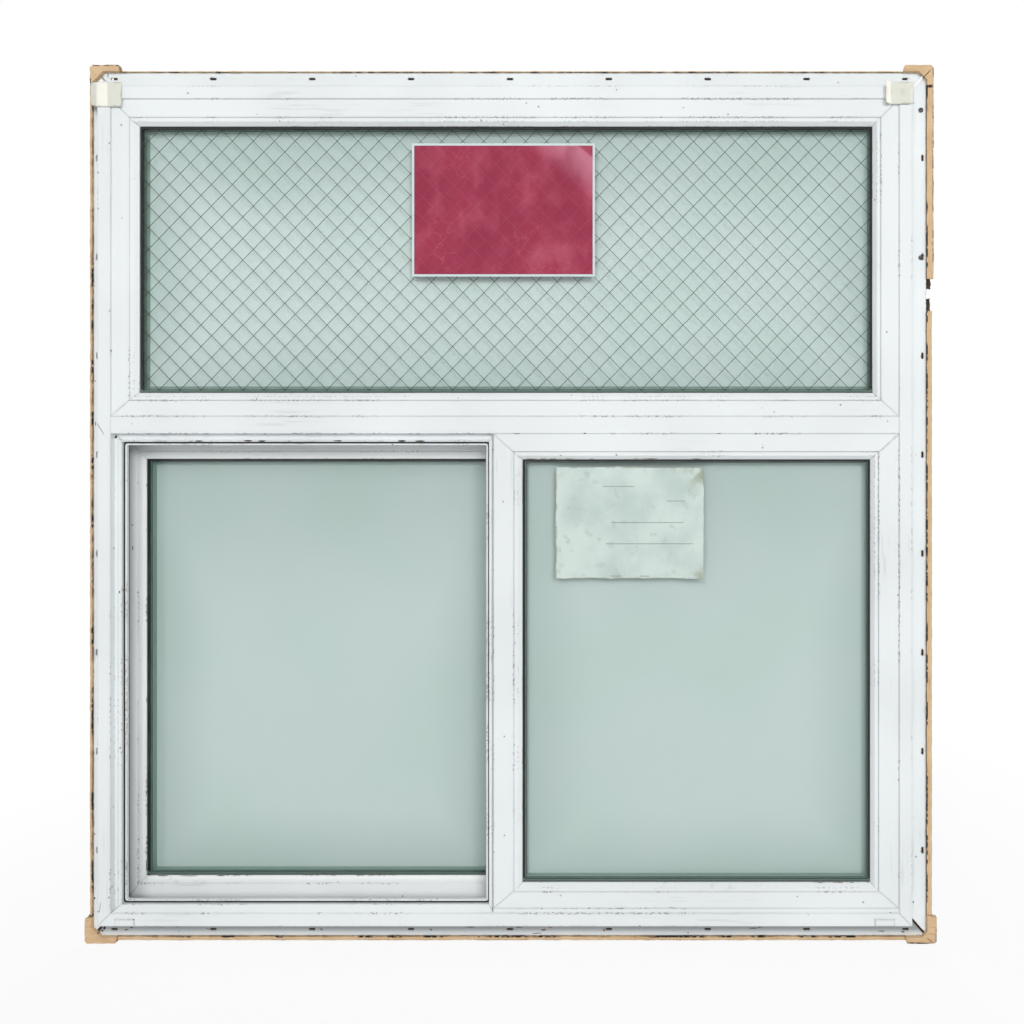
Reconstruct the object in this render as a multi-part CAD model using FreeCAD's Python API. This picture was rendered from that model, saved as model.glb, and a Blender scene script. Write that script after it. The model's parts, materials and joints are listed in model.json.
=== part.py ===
import FreeCAD, Part
import math
import os

Vector = FreeCAD.Vector

# Horizontal sliding window with a fixed wired-glass top lite, white vinyl, with a nail fin all round.
# Millimetres, +Z up, +X to the right and -Y outdoors.
# The origin lies on the back face of the sill's nail fin, halfway up the fin and halfway along it.

# Main frame
frame_width = 1206.5
frame_height = 1244.6
frame_depth = 82.6
fin_setback = 34.9
fin_width = 31.75
jamb_fin_width = 28.0
fin_thickness = 2.0
fin_corner_notch = 3.5
band_width = 19.5
frame_wall = 2.2
edge_round = 1.2
pocket_floor = 9.0
box_back = 5.0
inner_leg_height = 24.0
inner_leg_thickness = 5.7
track_rib_width = 3.0
track_rib_height = 3.0
mitre_gap = 0.2

# Nail slots in the fin
slot_length = 10.0
slot_width = 3.6
slot_pitch = 150.0
slot_line = 22.5
slot_margin_across = 3.0
slot_margin_up = 75.0

# Transom bar between the top lite and the lower lites
transom_bottom = 729.3
transom_height = 25.8
transom_setback = 0.6
transom_leg = 22.0

# Fixed lites: flat face, snap-in bead and glass
lite_setback = 1.5
glass_setback = 10.9
bead_width = 11.5
bead_gap = 0.3
bead_step = 0.8
bead_crown = 1.8
glazing_leg = 11.0
glazing_leg_thickness = 4.5
glass_edge_gap = 3.0
glass_thickness = 3.0
wired_thickness = 6.0
unit_thickness = 16.0
gasket_thickness = 1.5
gasket_show = 3.4
spacer_show = 5.5
spacer_edge_gap = 2.0
setting_gap = 0.3
top_flat = 27.0
top_transom_flat = 23.5
lower_stile_flat = 30.3
lower_rail_flat = 24.2
lower_head_flat = 26.7
sill_strip_height = 6.7
meeting_edge = -17.4

# Inner stops behind the top lite
stop_width = 25.0
stop_transom_width = 13.0
stop_round = 4.0

# Screen track round the vent opening
track_back_setback = 32.0
track_cove = 7.0
track_leg = 3.0
head_track_height = 12.0
head_track_nose = 2.0
head_track_inner = 15.3
jamb_track_height = 16.1
jamb_track_nose = 6.0
jamb_track_inner = 5.0
sill_track_height = 13.0
sill_track_inner = 4.5
stile_track_height = 6.4
stile_track_nose = 4.4
stile_track_inner = 18.0

# Sliding sash
sash_side_clearance = 5.25
sash_head_clearance = 6.0
sash_face_clearance = 5.2
sash_back_clearance = 5.5
sash_right_edge = 10.0
sash_wall = 2.2
sash_glass_setback = 5.5
sash_stile_flat = 17.0
sash_top_flat = 21.5
sash_bottom_flat = 23.0
sash_interlock_flat = 30.0
running_clearance = 5.3
pull_lip_height = 240.0
pull_lip_reach = 7.0
pull_lip_thickness = 4.0

# Rollers under the sash
roller_radius = 11.0
roller_width = 6.0
roller_gap = 0.3
roller_groove = 1.0
axle_radius = 2.0
axle_clearance = 0.1
carriage_length = 44.0
carriage_width = 16.0
carriage_height = 17.0
roller_inset = 90.0

# Latch on the pull stile
latch_plate_height = 74.0
latch_plate_width = 16.0
latch_plate_thickness = 3.0
latch_lever_height = 40.0
latch_lever_width = 10.0
latch_lever_reach = 14.0
latch_height = 330.0

# Brush strips on the inner legs
brush_height = 5.0
brush_gap = 0.3
brush_tip_inset = 1.0

# Weep covers on the sill
weep_width = 30.0
weep_height = 10.5
weep_thickness = 2.0
weep_inset = 41.0
weep_chamfer = 1.0

# Cardboard shipping guards on the fin's edges
guard_thickness = 10.0
guard_depth = 8.0
guard_chamfer = 4.0
guard_end_slope = 3.0
guard_fit = 0.3
guard_top_left = {"across": 44.0, "upright": 21.0, "side": 2.0, "gusset": 18.0}
guard_top_right = {"across": 36.0, "upright": 22.0, "side": 10.5, "gusset": 12.0}
guard_bottom_left = {"across": 39.0, "upright": 31.0, "side": 10.0, "gusset": 14.0}
guard_bottom_right = {"across": 33.0, "upright": 33.0, "side": 15.0, "gusset": 8.0}
strip_depth = 6.0
strip_chamfer = 1.0
strip_left = 3.8
strip_right_wide = 10.8
strip_right_narrow = 8.5
strip_bottom = 6.0
strip_top = 1.6
strip_break_top = 962.0
strip_break_bottom = 914.0

# Places worked out from the sizes above
frame_bottom = fin_width / 2
frame_top = frame_bottom + frame_height
frame_left = -frame_width / 2
frame_right = frame_width / 2
frame_front = -fin_setback
frame_back = frame_depth - fin_setback
leg_front = frame_back - inner_leg_thickness
band_left = frame_left + band_width
band_right = frame_right - band_width
band_top = frame_top - band_width
band_bottom = frame_bottom + band_width
pocket_left = frame_left + pocket_floor
pocket_right = frame_right - pocket_floor
transom_low = frame_bottom + transom_bottom
transom_high = transom_low + transom_height
lite_front = frame_front + lite_setback
lite_glass = frame_front + glass_setback
track_back = frame_front + track_back_setback
sash_front = box_back + sash_face_clearance
sash_back = leg_front - sash_back_clearance
sash_left_edge = pocket_left + sash_side_clearance
sash_high = transom_low - sash_head_clearance
rib_top = frame_bottom + pocket_floor + track_rib_height
sash_low = rib_top + running_clearance
sash_middle = (sash_front + sash_back) / 2
fin_left = frame_left - jamb_fin_width
fin_right = frame_right + jamb_fin_width
fin_top = frame_top + fin_width
fin_bottom = frame_bottom - fin_width

fin_widths = {"bottom": fin_width, "top": fin_width, "left": jamb_fin_width, "right": jamb_fin_width}
fin_end_widths = {"bottom": jamb_fin_width, "top": jamb_fin_width, "left": fin_width, "right": fin_width}

track_heights = {
    "top": head_track_height,
    "left": jamb_track_height,
    "bottom": sill_track_height,
    "right": stile_track_height,
}
track_inner_heights = {
    "top": head_track_inner,
    "left": jamb_track_inner,
    "bottom": sill_track_inner,
    "right": stile_track_inner,
}
track_noses = {
    "top": head_track_nose,
    "left": jamb_track_nose,
    "bottom": sill_track_height,
    "right": stile_track_nose,
}

SIDE_TURNS = {"bottom": 0, "left": 90, "top": 180, "right": -90}
SIDE_ENDS = {
    "bottom": ("left", "right"),
    "top": ("right", "left"),
    "left": ("top", "bottom"),
    "right": ("bottom", "top"),
}


def section_plane(u, y):
    """Point of a bar's section: u runs inward from its outer edge, y is the depth."""
    return Vector(0, y, u)


def rounded_face(corners, plane):
    """Face whose outline passes through (a, b, radius) corners of a plane."""
    count = len(corners)
    entries = []
    for index, (a, b, radius) in enumerate(corners):
        here = Vector(a, b, 0)
        before = Vector(*corners[index - 1][:2], 0)
        after = Vector(*corners[(index + 1) % count][:2], 0)
        if radius == 0:
            entries.append((here, None, here))
            continue
        inward = (before - here).normalize()
        onward = (after - here).normalize()
        half_turn = inward.getAngle(onward) / 2
        reach = radius / math.tan(half_turn)
        bisector = (inward + onward).normalize()
        middle = here + bisector * (radius / math.sin(half_turn) - radius)
        entries.append((here + inward * reach, middle, here + onward * reach))
    edges = []
    for index, (start, middle, end) in enumerate(entries):
        if middle is not None:
            points = [plane(p.x, p.y) for p in (start, middle, end)]
            edges.append(Part.Arc(*points).toShape())
        following = entries[(index + 1) % count][0]
        edges.append(Part.LineSegment(plane(end.x, end.y), plane(following.x, following.y)).toShape())
    return Part.Face(Part.Wire(edges))


def chamber(u_low, u_high, y_low, y_high):
    """Rectangle in a bar's section, such as one of its hollows."""
    return [(u_low, y_low, 0), (u_high, y_low, 0), (u_high, y_high, 0), (u_low, y_high, 0)]


def bar(outline, chambers, start, end):
    """Straight extrusion along X of a hollow section."""
    face = rounded_face(outline, section_plane)
    for hollow in chambers:
        face = face.cut(rounded_face(hollow, section_plane))
    solid = face.extrude(Vector(end - start, 0, 0))
    solid.translate(Vector(start, 0, 0))
    return solid


def box(x, y, z):
    """Box between the low and high values of each axis."""
    solid = Part.makeBox(x[1] - x[0], y[1] - y[0], z[1] - z[0])
    solid.translate(Vector(x[0], y[0], z[0]))
    return solid


def prism(corners, y_low, y_high):
    """Plate with rounded corners in the X, Z plane, between two depths."""
    face = rounded_face(corners, lambda x, z: Vector(x, y_low, z))
    return face.extrude(Vector(0, y_high - y_low, 0))


def one_solid(shape):
    """The single solid of a shape that a boolean operation wrapped."""
    return shape.Solids[0]


def set_on_side(solid, side, rect):
    """Turn a bar made along X, growing up from zero, onto one side of a rectangle."""
    x_low, x_high, z_low, z_high = rect
    x_middle = (x_low + x_high) / 2
    z_middle = (z_low + z_high) / 2
    places = {
        "bottom": Vector(x_middle, 0, z_low),
        "top": Vector(x_middle, 0, z_high),
        "left": Vector(x_low, 0, z_middle),
        "right": Vector(x_high, 0, z_middle),
    }
    solid.rotate(Vector(0, 0, 0), Vector(0, 1, 0), SIDE_TURNS[side])
    solid.translate(places[side])
    return solid


def side_length(side, rect):
    x_low, x_high, z_low, z_high = rect
    return x_high - x_low if side in ("bottom", "top") else z_high - z_low


def mitred(side, rect, widths, outline, chambers):
    """Bar on one side of a rectangle, its ends cut from the outer to the inner corner."""
    half = side_length(side, rect) / 2
    start, end = SIDE_ENDS[side]
    start_slope = widths[start] / widths[side]
    end_slope = widths[end] / widths[side]
    u_high = max(corner[0] for corner in outline)
    u_low = min(corner[0] for corner in outline)
    depths = [corner[1] for corner in outline]
    keep = [
        (-half + u_low * start_slope + mitre_gap, u_low, 0),
        (half - u_low * end_slope - mitre_gap, u_low, 0),
        (half - u_high * end_slope - mitre_gap, u_high, 0),
        (-half + u_high * start_slope + mitre_gap, u_high, 0),
    ]
    solid = bar(outline, chambers, -half, half)
    solid = solid.common(prism(keep, min(depths), max(depths)))
    return set_on_side(one_solid(solid), side, rect)


def ring(rect, outer, inner, y_low, y_high):
    """Flat frame between two insets, each given per side, of a rectangle."""
    x_low, x_high, z_low, z_high = rect
    x_out = (x_low + outer["left"], x_high - outer["right"])
    z_out = (z_low + outer["bottom"], z_high - outer["top"])
    x_in = (x_low + inner["left"], x_high - inner["right"])
    z_in = (z_low + inner["bottom"], z_high - inner["top"])
    depth = (y_low, y_high)
    return box(x_out, depth, z_out).cut(box(x_in, depth, z_in))


def inset(flats, extra):
    """The same extra inset added to the flat width of every side."""
    return {side: flat + extra for side, flat in flats.items()}


def frame_section(fin, with_rib):
    """Main frame: front box, sash pocket, inner leg and nail fin."""
    rib_side = track_rib_width / 2
    rib_crest = pocket_floor + track_rib_height
    rib = [
        (pocket_floor, sash_middle - rib_side, 0),
        (rib_crest, sash_middle - rib_side, edge_round),
        (rib_crest, sash_middle + rib_side, edge_round),
        (pocket_floor, sash_middle + rib_side, 0),
    ]
    outline = [
        (0, frame_front, edge_round),
        (band_width, frame_front, edge_round),
        (band_width, box_back, 0),
        (pocket_floor, box_back, 0),
        *(rib if with_rib else []),
        (pocket_floor, leg_front, 0),
        (inner_leg_height, leg_front, edge_round),
        (inner_leg_height, frame_back, edge_round),
        (0, frame_back, 0),
        (0, 0, 0),
        (-fin, 0, 0),
        (-fin, -fin_thickness, 0),
        (0, -fin_thickness, 0),
    ]
    front_hollow = chamber(
        frame_wall, band_width - frame_wall, frame_front + frame_wall, box_back - frame_wall
    )
    pocket_hollow = chamber(frame_wall, pocket_floor - frame_wall, box_back, leg_front)
    return outline, [front_hollow, pocket_hollow]


def slot_row(length, margin):
    """Places of evenly pitched nail slots along a side, as many as fit between its margins."""
    steps = int((length - 2 * margin) // slot_pitch)
    return [(index - steps / 2) * slot_pitch for index in range(steps + 1)]


def slot_tool(along):
    """Cutter of one nail slot: a straight middle between two round ends."""
    half_straight = (slot_length - slot_width) / 2
    depth = (-fin_thickness, 0)
    straight = (along - half_straight, along + half_straight)
    height = (-slot_line - slot_width / 2, -slot_line + slot_width / 2)
    tool = box(straight, depth, height)
    for place in straight:
        end = Part.makeCylinder(
            slot_width / 2, fin_thickness, Vector(place, -fin_thickness, -slot_line), Vector(0, 1, 0)
        )
        tool = tool.fuse(end)
    return tool.removeSplitter()


def frame_member(side, with_rib, slot_margin):
    """Mitred main frame bar, its fin notched at the corners and slotted for nails."""
    rect = (frame_left, frame_right, frame_bottom, frame_top)
    length = side_length(side, rect)
    half = length / 2
    notch = fin_corner_notch / math.sqrt(2)
    fin = fin_widths[side]
    outline, chambers = frame_section(fin, with_rib)
    reach = half + fin_end_widths[side]
    solid = bar(outline, chambers, -reach, reach)
    inner = half - inner_leg_height - mitre_gap
    keep = [
        (-reach + notch, -fin, 0),
        (reach - notch, -fin, 0),
        (half - notch, 0, 0),
        (half - mitre_gap, 0, 0),
        (inner, inner_leg_height, 0),
        (-inner, inner_leg_height, 0),
        (-half + mitre_gap, 0, 0),
        (-half + notch, 0, 0),
    ]
    solid = solid.common(prism(keep, frame_front, frame_back))
    for along in slot_row(length, slot_margin):
        solid = solid.cut(slot_tool(along))
    return set_on_side(one_solid(solid), side, rect)


def transom_bar():
    """Bar across the unit, coped at both ends round the jambs, with the sash's inner head leg."""
    front = frame_front + transom_setback
    outline = [
        (0, front, edge_round),
        (transom_height, front, edge_round),
        (transom_height, frame_back, edge_round),
        (-transom_leg, frame_back, edge_round),
        (-transom_leg, leg_front, edge_round),
        (0, leg_front, 0),
    ]
    hollow_top = transom_height - frame_wall
    middle_web = box_back - frame_wall
    chambers = [
        chamber(frame_wall, hollow_top, front + frame_wall, middle_web),
        chamber(frame_wall, hollow_top, box_back, frame_back - frame_wall),
    ]
    solid = bar(outline, chambers, pocket_left, pocket_right)
    height = (-transom_leg, transom_height)
    leg_line = frame_right - inner_leg_height
    for low, high in ((pocket_left, band_left), (band_right, pocket_right)):
        solid = solid.cut(box((low, high), (front, box_back), height))
    for low, high in ((pocket_left, -leg_line), (leg_line, pocket_right)):
        solid = solid.cut(box((low, high), (leg_front, frame_back), height))
    solid.translate(Vector(0, 0, transom_low))
    return one_solid(solid)


def track_face(height, nose):
    """Outdoor face of a track leg: a cove that comes forward to a flat nose, or all flat."""
    if nose == height:
        return [(0, lite_front, 0)]
    cove_end = height - nose
    return [
        (0, lite_front + track_cove, 0),
        (cove_end, lite_front + track_cove, track_cove - edge_round),
        (cove_end, lite_front, 0),
    ]


def vent_track(side):
    """One side of the vent's screen track: an outer leg, a floor and an inner leg, mitred."""
    rect = (band_left, meeting_edge, band_bottom, transom_low)
    height = track_heights[side]
    inner_height = track_inner_heights[side]
    leg_back = lite_front + track_cove + track_leg
    inner_front = track_back - track_leg
    outer_outline = [
        *track_face(height, track_noses[side]),
        (height, lite_front, edge_round / 2),
        (height, leg_back, 0),
        (frame_wall, leg_back, 0),
        (frame_wall, inner_front, 0),
        (0, inner_front, 0),
    ]
    outer = mitred(side, rect, track_heights, outer_outline, [])
    inner_outline = chamber(0, inner_height, inner_front, track_back)
    inner = mitred(side, rect, track_inner_heights, inner_outline, [])
    return one_solid(outer.fuse(inner).removeSplitter())


def fixed_lite_sill_strip():
    """Hollow strip that carries the right lite above the sill."""
    outline = [
        (0, lite_front, 0),
        (sill_strip_height, lite_front, edge_round / 2),
        (sill_strip_height, box_back, 0),
        (0, box_back, 0),
    ]
    hollow = chamber(
        frame_wall / 2, sill_strip_height - frame_wall / 2, lite_front + frame_wall, box_back - frame_wall
    )
    solid = bar(outline, [hollow], meeting_edge, band_right)
    solid.translate(Vector(0, 0, band_bottom))
    return solid


def lite_section(flat, front, back, wall, glass_back):
    """Box with a glazing leg that the glass unit rests against, its indoor corners chamfered."""
    leg_low = glass_back + setting_gap
    leg_high = min(leg_low + glazing_leg_thickness, back)
    outline = [
        (0, front, edge_round),
        (flat, front, edge_round),
        (flat, leg_low, 0),
        (flat + glazing_leg, leg_low, 0),
        (flat + glazing_leg, leg_high - edge_round, 0),
        (flat + glazing_leg - edge_round, leg_high, 0),
    ]
    if leg_high < back:
        outline.append((flat, leg_high, 0))
        outline.append((flat, back - edge_round, 0))
        outline.append((flat - edge_round, back, 0))
    outline.append((edge_round, back, 0))
    outline.append((0, back - edge_round, 0))
    return outline, [chamber(wall, flat - wall, front + wall, back - wall)]


def bead_section(flat, front, glass_front):
    """Snap-in bead that slopes from the flat face down to the glass."""
    start = flat + bead_gap
    end = flat + bead_width
    seat = glass_front - gasket_thickness
    return [
        (start, front + bead_step, 0),
        ((start + end) / 2, front + bead_step, bead_crown),
        (end, seat - bead_crown, bead_step),
        (end, seat, 0),
        (start, seat, 0),
    ]


def glazed_lite(rect, flats, front, back, wall, glass_front, glass_back, outer_thickness):
    """Mitred frame with its beads, gasket and two-pane sealed unit."""
    widths = inset(flats, bead_width)
    pieces = {}
    beads = []
    for side, flat in flats.items():
        outline, chambers = lite_section(flat, front, back, wall, glass_back)
        pieces[side] = mitred(side, rect, widths, outline, chambers)
        beads.append(mitred(side, rect, widths, bead_section(flat, front, glass_front), []))
    edges = inset(flats, glass_edge_gap)
    x_low, x_high, z_low, z_high = rect
    glass_x = (x_low + edges["left"], x_high - edges["right"])
    glass_z = (z_low + edges["bottom"], z_high - edges["top"])
    outer_back = glass_front + outer_thickness
    inner_front = glass_back - glass_thickness
    pieces["beads"] = Part.makeCompound(beads)
    pieces["gasket"] = ring(
        rect, edges, inset(flats, bead_width + gasket_show), glass_front - gasket_thickness, glass_front
    )
    pieces["outer_pane"] = box(glass_x, (glass_front, outer_back), glass_z)
    pieces["spacer"] = ring(
        rect,
        inset(flats, glass_edge_gap + spacer_edge_gap),
        inset(flats, bead_width + spacer_show),
        outer_back,
        inner_front,
    )
    pieces["inner_pane"] = box(glass_x, (inner_front, glass_back), glass_z)
    return pieces


def top_lite():
    rect = (band_left, band_right, transom_high, band_top)
    flats = {"bottom": top_transom_flat, "left": top_flat, "top": top_flat, "right": top_flat}
    glass_back = lite_glass + unit_thickness
    return glazed_lite(
        rect, flats, lite_front, box_back, frame_wall, lite_glass, glass_back, wired_thickness
    )


def fixed_lite():
    rect = (meeting_edge, band_right, band_bottom + sill_strip_height, transom_low)
    flats = {
        "bottom": lower_rail_flat,
        "left": lower_stile_flat,
        "top": lower_head_flat,
        "right": lower_stile_flat,
    }
    glass_back = lite_glass + unit_thickness
    return glazed_lite(
        rect, flats, lite_front, box_back, frame_wall, lite_glass, glass_back, glass_thickness
    )


def sash():
    rect = (sash_left_edge, sash_right_edge, sash_low, sash_high)
    flats = {
        "bottom": sash_bottom_flat,
        "left": sash_stile_flat,
        "top": sash_top_flat,
        "right": sash_interlock_flat,
    }
    glass_front = sash_front + sash_glass_setback
    glass_back = sash_back - glazing_leg_thickness - setting_gap
    pieces = glazed_lite(
        rect, flats, sash_front, sash_back, sash_wall, glass_front, glass_back, glass_thickness
    )
    for place in roller_places():
        pieces["bottom"] = pieces["bottom"].cut(carriage_space(place))
    pieces["bottom"] = one_solid(pieces["bottom"])
    pieces["left"] = one_solid(pieces["left"].fuse(pull_lip()).removeSplitter())
    return pieces


def pull_lip():
    """Finger lip on the indoor face of the pull stile."""
    outline = [
        (sash_left_edge + sash_stile_flat - pull_lip_thickness, sash_back, 0),
        (sash_left_edge + sash_stile_flat, sash_back, 0),
        (sash_left_edge + sash_stile_flat, sash_back + pull_lip_reach, edge_round),
        (sash_left_edge + sash_stile_flat - pull_lip_thickness, sash_back + pull_lip_reach, edge_round),
    ]
    low = latch_middle() - pull_lip_height / 2
    face = rounded_face(outline, lambda x, y: Vector(x, y, low))
    return face.extrude(Vector(0, 0, pull_lip_height))


def latch_middle():
    return frame_bottom + latch_height


def roller_places():
    return (sash_left_edge + roller_inset, sash_right_edge - roller_inset)


def carriage_space(place):
    half = carriage_length / 2
    side = carriage_width / 2
    return box(
        (place - half, place + half),
        (sash_middle - side, sash_middle + side),
        (sash_low, sash_low + carriage_height),
    )


def sash_rollers():
    """Two grooved wheels, each loose on an axle across a carriage let into the bottom rail."""
    axle_height = rib_top + roller_gap + roller_radius - roller_groove
    wheel_side = roller_width / 2
    room = roller_radius + roller_gap
    slot = wheel_side + roller_gap
    solids = []
    for place in roller_places():
        wheel_room = box(
            (place - room, place + room),
            (sash_middle - slot, sash_middle + slot),
            (sash_low, sash_low + carriage_height),
        )
        axle_start = Vector(place, sash_middle - slot, axle_height)
        axle = Part.makeCylinder(axle_radius, 2 * slot, axle_start, Vector(0, 1, 0))
        solids.append(one_solid(carriage_space(place).cut(wheel_room).fuse(axle)))
        bore = axle_radius + axle_clearance
        profile = [
            (bore, sash_middle - wheel_side, 0),
            (roller_radius, sash_middle - wheel_side, 0),
            (roller_radius - roller_groove, sash_middle, 0),
            (roller_radius, sash_middle + wheel_side, 0),
            (bore, sash_middle + wheel_side, 0),
        ]
        face = rounded_face(profile, lambda r, y: Vector(place, y, axle_height + r))
        solids.append(face.revolve(Vector(place, 0, axle_height), Vector(0, 1, 0), 360))
    return Part.makeCompound(solids)


def sash_latch():
    """Rounded plate with a curved thumb lever on the pull stile."""
    x_middle = sash_left_edge + sash_stile_flat + latch_plate_width / 2
    half_width = latch_plate_width / 2
    half_height = latch_plate_height / 2
    z_middle = latch_middle()
    corner = half_width - edge_round
    plate = prism(
        [
            (x_middle - half_width, z_middle - half_height, corner),
            (x_middle + half_width, z_middle - half_height, corner),
            (x_middle + half_width, z_middle + half_height, corner),
            (x_middle - half_width, z_middle + half_height, corner),
        ],
        sash_back,
        sash_back + latch_plate_thickness,
    )
    root = sash_back + latch_plate_thickness
    tip = root + latch_lever_reach
    half_lever = latch_lever_height / 2
    lever_outline = [
        (root, z_middle - half_lever, 0),
        (tip, z_middle + half_lever / 2, edge_round),
        (tip, z_middle + half_lever, edge_round),
        (root, z_middle + half_lever, 0),
    ]
    start = x_middle - latch_lever_width / 2
    face = rounded_face(lever_outline, lambda y, z: Vector(start, y, z))
    lever = face.extrude(Vector(latch_lever_width, 0, 0))
    return one_solid(plate.fuse(lever))


def brush_section(root, tip):
    """Tapered brush from its root to a tip just clear of the sash."""
    return [
        (0, root, 0),
        (brush_height, root, 0),
        (brush_height - brush_tip_inset, tip, 0),
        (brush_tip_inset, tip, 0),
    ]


def track_brushes():
    """Brush strips that steady and seal the sash: two on the inner legs, two upright ones outdoors."""
    inner = brush_section(leg_front, sash_back + brush_gap)
    low = bar(inner, [], pocket_left, pocket_right)
    low.translate(Vector(0, 0, frame_bottom + inner_leg_height - brush_height - edge_round))
    high = bar(inner, [], frame_left + inner_leg_height, frame_right - inner_leg_height)
    high.translate(Vector(0, 0, transom_low - transom_leg + edge_round))
    strips = [low, high]
    outer = brush_section(box_back, sash_front - brush_gap)
    half = (sash_high - sash_low) / 2
    for edge in (band_left - brush_height - edge_round, meeting_edge + edge_round):
        upright = bar(outer, [], -half, half)
        strips.append(set_on_side(upright, "left", (edge, sash_right_edge, sash_low, sash_high)))
    return Part.makeCompound(strips)


def weep_covers():
    """Two chamfered covers over the sill's drain holes."""
    solids = []
    for middle in (frame_left + weep_inset, frame_right - weep_inset):
        cover = box(
            (middle - weep_width / 2, middle + weep_width / 2),
            (frame_front - weep_thickness, frame_front),
            (frame_bottom + edge_round, frame_bottom + edge_round + weep_height),
        )
        front_edges = []
        for edge in cover.Edges:
            if abs(edge.CenterOfMass.y - (frame_front - weep_thickness)) < weep_thickness / 4:
                front_edges.append(edge)
        solids.append(cover.makeChamfer(weep_chamfer, front_edges))
    return Part.makeCompound(solids)


def corner_guard(corner, inward, guard):
    """Folded card angle outside a fin corner, with a gusset on the fin and a tongue in its notch."""
    notch = fin_corner_notch / math.sqrt(2) - guard_fit
    mitre_slope = fin_width / jamb_fin_width
    tongue = (guard["gusset"] - notch) / (1 + mitre_slope)
    angle = [
        (guard["across"], 0),
        (guard["across"] - guard_end_slope, -guard_thickness),
        (guard_chamfer - guard["side"], -guard_thickness),
        (-guard["side"], guard_chamfer - guard_thickness),
        (-guard["side"], guard["upright"] - guard_end_slope),
        (0, guard["upright"]),
        (0, notch),
        (tongue, tongue * mitre_slope + notch),
        (tongue + notch, tongue * mitre_slope),
        (notch, 0),
    ]
    gusset = [(0, 0), (guard["gusset"], 0), (0, guard["gusset"])]
    plates = []
    for outline, back in ((angle, 0), (gusset, -fin_thickness - guard_fit)):
        corners = [(corner[0] + a * inward[0], corner[1] + b * inward[1], 0) for a, b in outline]
        plates.append(prism(corners, -guard_depth, back))
    return one_solid(plates[0].fuse(plates[1]).removeSplitter())


def edge_strip(side, thickness, start_gap, end_gap):
    """Card strip along one edge of the fin, short of the fin's two corners by the gaps."""
    rect = (fin_left, fin_right, fin_bottom, fin_top)
    half = side_length(side, rect) / 2
    outline = [
        (0, 0, 0),
        (-thickness, 0, 0),
        (-thickness, strip_chamfer - strip_depth, 0),
        (strip_chamfer - thickness, -strip_depth, 0),
        (0, -strip_depth, 0),
    ]
    return set_on_side(bar(outline, [], start_gap - half, half - end_gap), side, rect)


def inner_stops():
    """Hollow stops that close the sash pocket behind the top lite."""
    rect = (pocket_left, pocket_right, transom_high, frame_top - pocket_floor)
    widths = {"bottom": stop_transom_width, "left": stop_width, "top": stop_width, "right": stop_width}
    pieces = {}
    for side, width in widths.items():
        outline = [
            (0, box_back, 0),
            (width, box_back, 0),
            (width, leg_front, stop_round),
            (0, leg_front, 0),
        ]
        hollow = chamber(frame_wall, width - frame_wall, box_back + frame_wall, leg_front - frame_wall)
        pieces[side] = mitred(side, rect, widths, outline, [hollow])
    return pieces


def save(name, shape):
    shape.exportStep("parts/" + name + ".step")


os.makedirs("parts", exist_ok=True)

save("frame_head", frame_member("top", False, slot_margin_across))
save("frame_sill", frame_member("bottom", True, slot_margin_across))
save("frame_jamb_left", frame_member("left", False, slot_margin_up))
save("frame_jamb_right", frame_member("right", False, slot_margin_up))
save("transom_bar", transom_bar())
save("vent_head_track", vent_track("top"))
save("vent_jamb_track", vent_track("left"))
save("vent_sill_track", vent_track("bottom"))
save("vent_stile_track", vent_track("right"))
save("fixed_lite_sill_strip", fixed_lite_sill_strip())

lites = {"top_lite": top_lite(), "fixed_lite": fixed_lite(), "sash": sash()}
member_names = {
    "top_lite": {
        "bottom": "transom_rail",
        "top": "head_rail",
        "left": "left_stile",
        "right": "right_stile",
    },
    "fixed_lite": {
        "bottom": "sill_rail",
        "top": "head_rail",
        "left": "meeting_stile",
        "right": "jamb_stile",
    },
    "sash": {
        "bottom": "bottom_rail",
        "top": "top_rail",
        "left": "pull_stile",
        "right": "interlock_stile",
    },
}
for lite, pieces in lites.items():
    for piece, shape in pieces.items():
        save(lite + "_" + member_names[lite].get(piece, piece), shape)

for side, shape in inner_stops().items():
    save("top_lite_stop_" + side, shape)

save("sash_rollers", sash_rollers())
save("sash_latch", sash_latch())
save("track_brushes", track_brushes())
save("weep_covers", weep_covers())

save("corner_guard_top_left", corner_guard((fin_left, fin_top), (1, -1), guard_top_left))
save("corner_guard_top_right", corner_guard((fin_right, fin_top), (-1, -1), guard_top_right))
save("corner_guard_bottom_left", corner_guard((fin_left, fin_bottom), (1, 1), guard_bottom_left))
save("corner_guard_bottom_right", corner_guard((fin_right, fin_bottom), (-1, 1), guard_bottom_right))

strip = edge_strip("left", strip_left, guard_top_left["upright"], guard_bottom_left["upright"])
save("edge_strip_left", strip)
strip = edge_strip("bottom", strip_bottom, guard_bottom_left["across"], guard_bottom_right["across"])
save("edge_strip_bottom", strip)
strip = edge_strip("top", strip_top, guard_top_right["across"], guard_top_left["across"])
save("edge_strip_top", strip)
upper_start = fin_width + strip_break_top
upper = edge_strip("right", strip_right_wide, upper_start, guard_top_right["upright"])
lower_end = frame_height + fin_width - strip_break_bottom
lower = edge_strip("right", strip_right_narrow, guard_bottom_right["upright"], lower_end)
save("edge_strip_right", Part.makeCompound([upper, lower]))
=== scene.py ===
# %% [markdown]
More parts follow.
